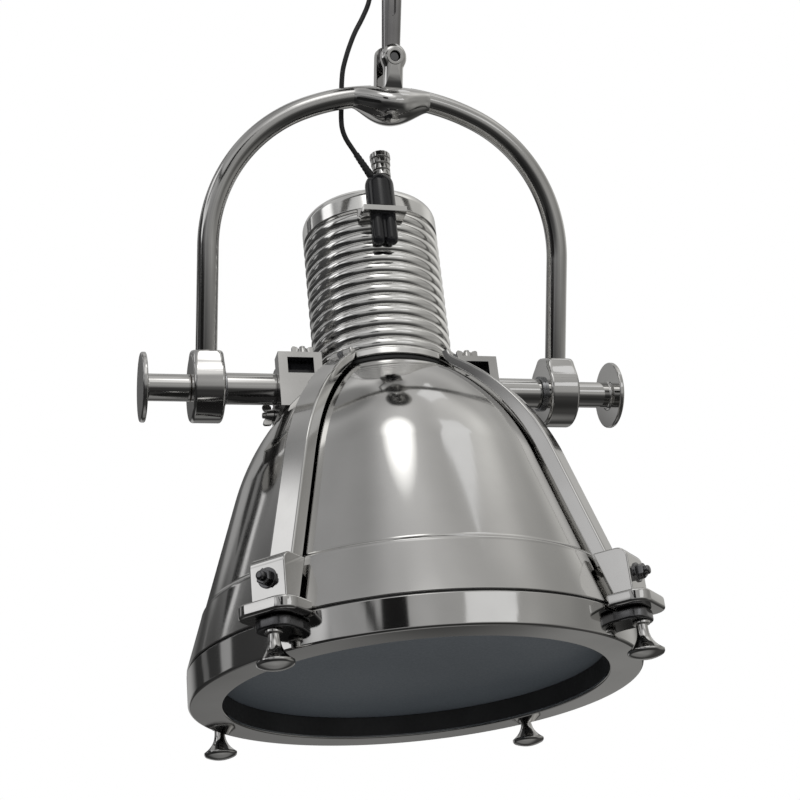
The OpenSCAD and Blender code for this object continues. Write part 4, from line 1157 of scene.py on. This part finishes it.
def make_grip():
    """The black body on its bracket, with a neck through it and a two-lobed boot below."""
    shoulder_w, shoulder_h, chamfer = 7, 11, 0.8
    neck_r, lobe_r = BARREL_R - 4, 6.5
    low = BRACKET_Z - BOOT_H
    turns = spread(0, pi / 2, 12)
    outline = [(0, BRACKET_TOP), (BARREL_R - chamfer, BRACKET_TOP), (BARREL_R, BRACKET_TOP + chamfer)]
    outline += [(BARREL_R - shoulder_w * (1 - cos(a)), BARREL_TOP - shoulder_h * (1 - sin(a)))
                for a in turns]
    outline.append((0, BARREL_TOP))
    neck = ring(0, neck_r, BRACKET_Z - 1, BRACKET_TOP + 1)
    lobes = [lobe(x, low, BRACKET_Z + 1, lobe_r) for x in (-lobe_r, lobe_r)]
    web = box((-lobe_r, -5.5, low + lobe_r), (lobe_r, 1.5, BRACKET_Z + 0.5))
    body = joined(lathe(outline, 72), neck, web, *lobes)
    piece("cord_grip", "body", body, AT_GRIP, "head", BLACK)


def make_grip_fittings():
    collar = ring(3.3, 9, BARREL_TOP, RING_TOP, 1, 1.8)
    piece("grip_ring", "turned", collar, AT_CLAMP, "head", MIRROR)
    dome = lathe([(0, 0), (3, 0)] + arc((0, 0.4), 3, 6, 90, 8), 32)
    screws = [placed(dome, Matrix.Translation((sign * BRACKET_SCREW_X, 0, BRACKET_TOP))) for sign in (-1, 1)]
    piece("bracket_screws", "domed", joined(*screws), AT_GRIP, "head", MIRROR)


def make_clamp_knob():
    """Three tiers, the upper two fluted, on a bolt."""
    low = RING_TOP + 0.3
    tier = (CLAMP_TOP - low) / 3
    second, third = low + tier, low + 2 * tier
    bolt_r, bolt_end = 3, low - 25
    radius = 10.5
    neck_r, lower_r, middle_r, crown_r = radius - 2.5, radius - 1.5, radius - 0.7, radius - 3
    flutes, flute_share = 16, 0.2
    outline = rounded([
        (0, bolt_end), (bolt_r, bolt_end), (bolt_r, low), (lower_r, low, 0.6), (lower_r, second - 1, 0.8),
        (neck_r, second - 0.5), (middle_r, second, 0.8), (middle_r, third - 1, 0.8), (neck_r, third - 0.5),
        (radius, third, 0.8), (radius, CLAMP_TOP - 1, 1), (crown_r, CLAMP_TOP, 1), (0, CLAMP_TOP)], 4)

    def flute(angle, r):
        depth = max(0.0, r - radius + 1.6) * flute_share
        return r - depth * (0.5 + 0.5 * cos(flutes * angle))

    piece("clamp_knob", "turned", lathe(outline, 144, flute), AT_CLAMP, "clamp_knob", MIRROR)


make_grip()
make_grip_fittings()
make_clamp_knob()
refined("grip_bracket", "head", MIRROR, bevel=0.8)

# CAD nodes that show as they are, with their finishes

PLAIN = {
    "ceiling_plate": ZINC, "cord_bush": RUBBER, "terminal_block": CERAMIC, "thrust_washers": ZINC,
    "eye_bush_left": BRONZE, "eye_bush_right": BRONZE, "reflector": WHITE, "holder_disc": ZINC,
    "lampholder": CERAMIC, "bulb": FROSTED, "strap_bolts": DARK_STEEL_AND_SHADE, "rim_gasket": RUBBER,
    "glass_clips": DARK_STEEL_AND_SHADE,
}
for node, material in PLAIN.items():
    mesh = frame["nodes"][node].data
    mesh.materials.clear()
    mesh.materials.append(material)

# Studio: a pale floor well below, soft lamps, and a tent that only reflections see

FLOOR_Z = -3.3
FLOOR_HALF = 2.5
FLOOR_GLOW = 0.42
MIDDLE = Vector((0, 0, -0.55))
TENT_R = 2.6
TENT_STEP = 1
# The tent's grey by elevation in degrees
TENT_SHADE = [
    (-90, 0.3), (-72, 0.24), (-56, 0.05), (-30, 0.03), (-8, 0.05), (3, 0.13), (13, 0.4), (30, 0.46),
    (45, 0.53), (70, 0.6), (90, 0.7)]
# Low down, up to this elevation, the right is lighter and the left darker by this share
SLANT_TO = 30
TENT_SLANT = 0.55
# Soft patches on the tent: azimuth, elevation, inner and outer radius in degrees, grey
TENT_PATCHES = [
    (80, 6, 15, 48, 0.33), (124, 12, 11, 28, 0.66), (164, 2, 5, 14, 0.5), (-95, 0, 25, 60, 0.05),
    (-95, 60, 10, 24, 0.42), (-58, 44, 8, 20, 0.5), (-84, 19, 6, 10, 1.25), (-98, 30, 6, 11, 1.05),
    (-107, 35, 6, 9.5, 1.2), (-70, 28, 7, 12, 0.7), (-160, 6, 4, 9, 0.35), (-8, 57, 8, 17, 1.1),
    (-30, 82, 4, 14, 0.75), (100, 62, 8, 20, 0.8), (-172, 52, 3, 9, 0.8), (172, 61, 3, 7, 0.28),
    (-148, 58, 8, 15, 0.3), (150, -35, 9, 18, 0.28), (167, -37, 9, 18, 0.2), (153, -52, 4, 10, 0.04),
    (-165, -26, 10, 22, 0.42)]
# Panels on the tent, as of a room's doors and furniture: azimuths, elevations, lean of the edges, grey
TENT_PANELS = [
    (-152, -148, 8, 40, 0, 0.03), (-148, -145, 8, 40, 0, 0.22), (-145, -139, 8, 40, 0, 0.03),
    (-139, -135, 8, 40, 0, 0.8), (-135, -130, 8, 40, 0, 0.2), (-68, -50, 20, 38, 2, 0.42),
    (-50, -40, 24, 42, 4, 0.03), (-33, -20, 26, 42, 0, 0.015), (-121, -114, -10, 8, 0, 0.5),
    (-142, -131, -16, 0, 2, 0.17), (-74, -44, -14, 10, 0, 0.015)]
# Openings in the tent through which the metal sees the white background: azimuths and elevations
TENT_OPENINGS = [(60, 92, 58, 73), (12, 42, 31, 41), (124, 150, 59, 71)]
# A round lamp near the top of the bell, seen by reflections alone: place and radius in metres, grey
TENT_LAMP = (Vector((-0.08, -0.222, 0.17)), 0.125, 2.2)
# The lamp's rings: share of its radius and of its grey
LAMP_RINGS = [(0.05, 1), (0.6, 1), (1, 0.35)]
# Unevenness of the greys, the panels' edges and the openings' edges: fineness, then share or degrees
CLOUDS = (3.5, 0.3)
PANEL_WAVE = (4, 3)
OPENING_WAVE = (5, 9, 6)


def shade_at(value, stops):
    for (low, first), (high, second) in zip(stops, stops[1:]):
        if value <= high:
            return first + (second - first) * eased((value - low) / (high - low))
    return stops[-1][1]


def uneven(way, fineness, size):
    return size * noise.noise(fineness * way)


def tent_grey(azimuth, elevation):
    way = direction(azimuth, elevation)
    low = max(0.0, 1 - max(0.0, elevation) / SLANT_TO)
    grey = shade_at(elevation, TENT_SHADE) * (1 + TENT_SLANT * way.x * low)
    for patch_a, patch_e, inner, outer, level in TENT_PATCHES:
        apart = degrees(way.angle(direction(patch_a, patch_e)))
        if apart < outer:
            grey += (level - grey) * eased(min(1.0, (outer - apart) / (outer - inner)))
    for first, last, bottom, top, lean, level in TENT_PANELS:
        across = azimuth + lean * (elevation - (bottom + top) / 2) + uneven(way, *PANEL_WAVE)
        if bottom < elevation < top and first <= across < last:
            grey = level
    return grey * (1 + uneven(way, *CLOUDS))


def in_opening(azimuth, elevation):
    """Whether the tent is open there; the edges of the openings are uneven."""
    fineness, across, along = OPENING_WAVE
    spot = fineness * direction(azimuth, elevation)
    elsewhere = Vector((7, 0, 0))
    azimuth += across * noise.noise(spot)
    elevation += along * noise.noise(spot + elsewhere)
    return any(a < azimuth < b and low < elevation < high for a, b, low, high in TENT_OPENINGS)


def tent_cloth():
    n = Nodes("tent_grey")
    cloth = n.add("ShaderNodeVertexColor")
    cloth.layer_name = "grey"
    n.set(Base_Color=(0, 0, 0, 1), Specular_IOR_Level=0.0, Emission_Color=cloth.outputs["Color"],
          Emission_Strength=1.0)
    return n.material


def staged(name, points, faces, place, material):
    mesh = bpy.data.meshes.new(name)
    mesh.from_pydata(points, [], faces)
    mesh.materials.append(material)
    obj = linked(name, mesh)
    obj.location = place
    return obj


def tent_piece(name, points, greys, faces, place, material):
    """A stage mesh with a grey at each point, which reflections alone see; the right is a little warmer."""
    obj = staged(name, points, faces, place, material)
    layer = obj.data.color_attributes.new("grey", "FLOAT_COLOR", "POINT")
    for i, (point, grey) in enumerate(zip(points, greys)):
        warm = 0.5 + 0.5 * point.x / TENT_R
        layer.data[i].color = (grey, (1 - 0.012 * warm) * grey, (1.01 - 0.06 * warm) * grey, 1)
    obj.data.shade_smooth()
    obj.visible_camera = False
    obj.visible_diffuse = False
    obj.visible_shadow = False
    obj.visible_transmission = False


def make_tent(cloth):
    """A round tent of soft greys with openings."""
    rows = list(range(-90, 91, TENT_STEP))
    columns = list(range(-180, 180, TENT_STEP))
    width = len(columns)
    points = [TENT_R * direction(a, e) for e in rows for a in columns]
    greys = [tent_grey(a, e) for e in rows for a in columns]
    faces = []
    for i in range(len(rows) - 1):
        for k in range(width):
            if in_opening(columns[k] + TENT_STEP / 2, rows[i] + TENT_STEP / 2):
                continue
            n = (k + 1) % width
            faces.append((i * width + k, (i + 1) * width + k, (i + 1) * width + n, i * width + n))
    tent_piece("tent", points, greys, faces, MIDDLE, cloth)


def make_tent_lamp(cloth):
    place, radius, level = TENT_LAMP
    sides = 32
    points, greys = [], []
    for share, part in LAMP_RINGS:
        for a in spread(0, 2 * pi, sides)[:-1]:
            points.append(Vector((share * radius * cos(a), share * radius * sin(a), 0)))
            greys.append(level * part)
    faces = quads(len(LAMP_RINGS), sides) + [list(range(sides))]
    tent_piece("tent_lamp", points, greys, faces, place, cloth)


def seen(tree):
    """1 for rays from the camera, off metal and through glass, and 0 for others."""
    path = tree.nodes.new("ShaderNodeLightPath")
    value = path.outputs["Is Camera Ray"]
    for name in ("Is Glossy Ray", "Is Transmission Ray"):
        value = worked_out(tree, "MAXIMUM", value, path.outputs[name])
    return value


def floor_material():
    """A pale floor, which the camera sees almost as white as the background."""
    n = Nodes("studio_pale")
    pale = (0.9, 0.9, 0.89)
    n.set(Base_Color=n.colours(n.noise(1.5, 2), pale, tuple(0.97 * c for c in pale)), Roughness=0.8,
          Emission_Color=(1, 1, 1, 1),
          Emission_Strength=worked_out(n.tree, "MULTIPLY", seen(n.tree), FLOOR_GLOW))
    return n.material


def make_floor():
    h = FLOOR_HALF
    corners = [(-h, -h, 0), (h, -h, 0), (h, h, 0), (-h, h, 0)]
    floor = staged("floor", corners, [(0, 1, 2, 3)], (0, 0, FLOOR_Z), floor_material())
    floor.rotation_euler.z = pi


def lamp(name, place, size, watts):
    """A soft lamp that points at the tilt axis and that the metal doesn't mirror."""
    data = bpy.data.lights.new(name, "AREA")
    data.shape = "RECTANGLE"
    data.size, data.size_y = size
    data.energy = watts
    obj = linked(name, data)
    obj.location = place
    obj.rotation_euler = (PIVOT - Vector(place)).to_track_quat("-Z", "Y").to_euler()
    obj.visible_glossy = False


def background(tree, colour, strength):
    node = tree.nodes.new("ShaderNodeBackground")
    node.inputs["Color"].default_value = colour
    node.inputs["Strength"].default_value = strength
    return node.outputs[0]


def make_world():
    """White to the camera, and to rays off metal and through glass; a plain grey light otherwise."""
    world = bpy.data.worlds.new("studio")
    scene.world = world
    world.use_nodes = True
    tree = world.node_tree
    tree.nodes.clear()
    mix = tree.nodes.new("ShaderNodeMixShader")
    out = tree.nodes.new("ShaderNodeOutputWorld")
    tree.links.new(seen(tree), mix.inputs[0])
    tree.links.new(background(tree, (0.95, 0.97, 1, 1), 0.55), mix.inputs[1])
    tree.links.new(background(tree, (1, 1, 1, 1), 1.0), mix.inputs[2])
    tree.links.new(mix.outputs[0], out.inputs["Surface"])


def make_studio():
    make_floor()
    cloth = tent_cloth()
    make_tent(cloth)
    make_tent_lamp(cloth)
    lamp("key", (-1.0, -1.9, 0.6), (0.5, 0.5), 14)
    lamp("fill", (1.5, -1.6, 0.2), (0.4, 1.0), 6)
    lamp("top", (0.2, 0.2, 1.4), (1.2, 1.2), 8)
    lamp("low", (0.1, -1.5, -1.7), (0.8, 0.8), 4)


make_world()
make_studio()
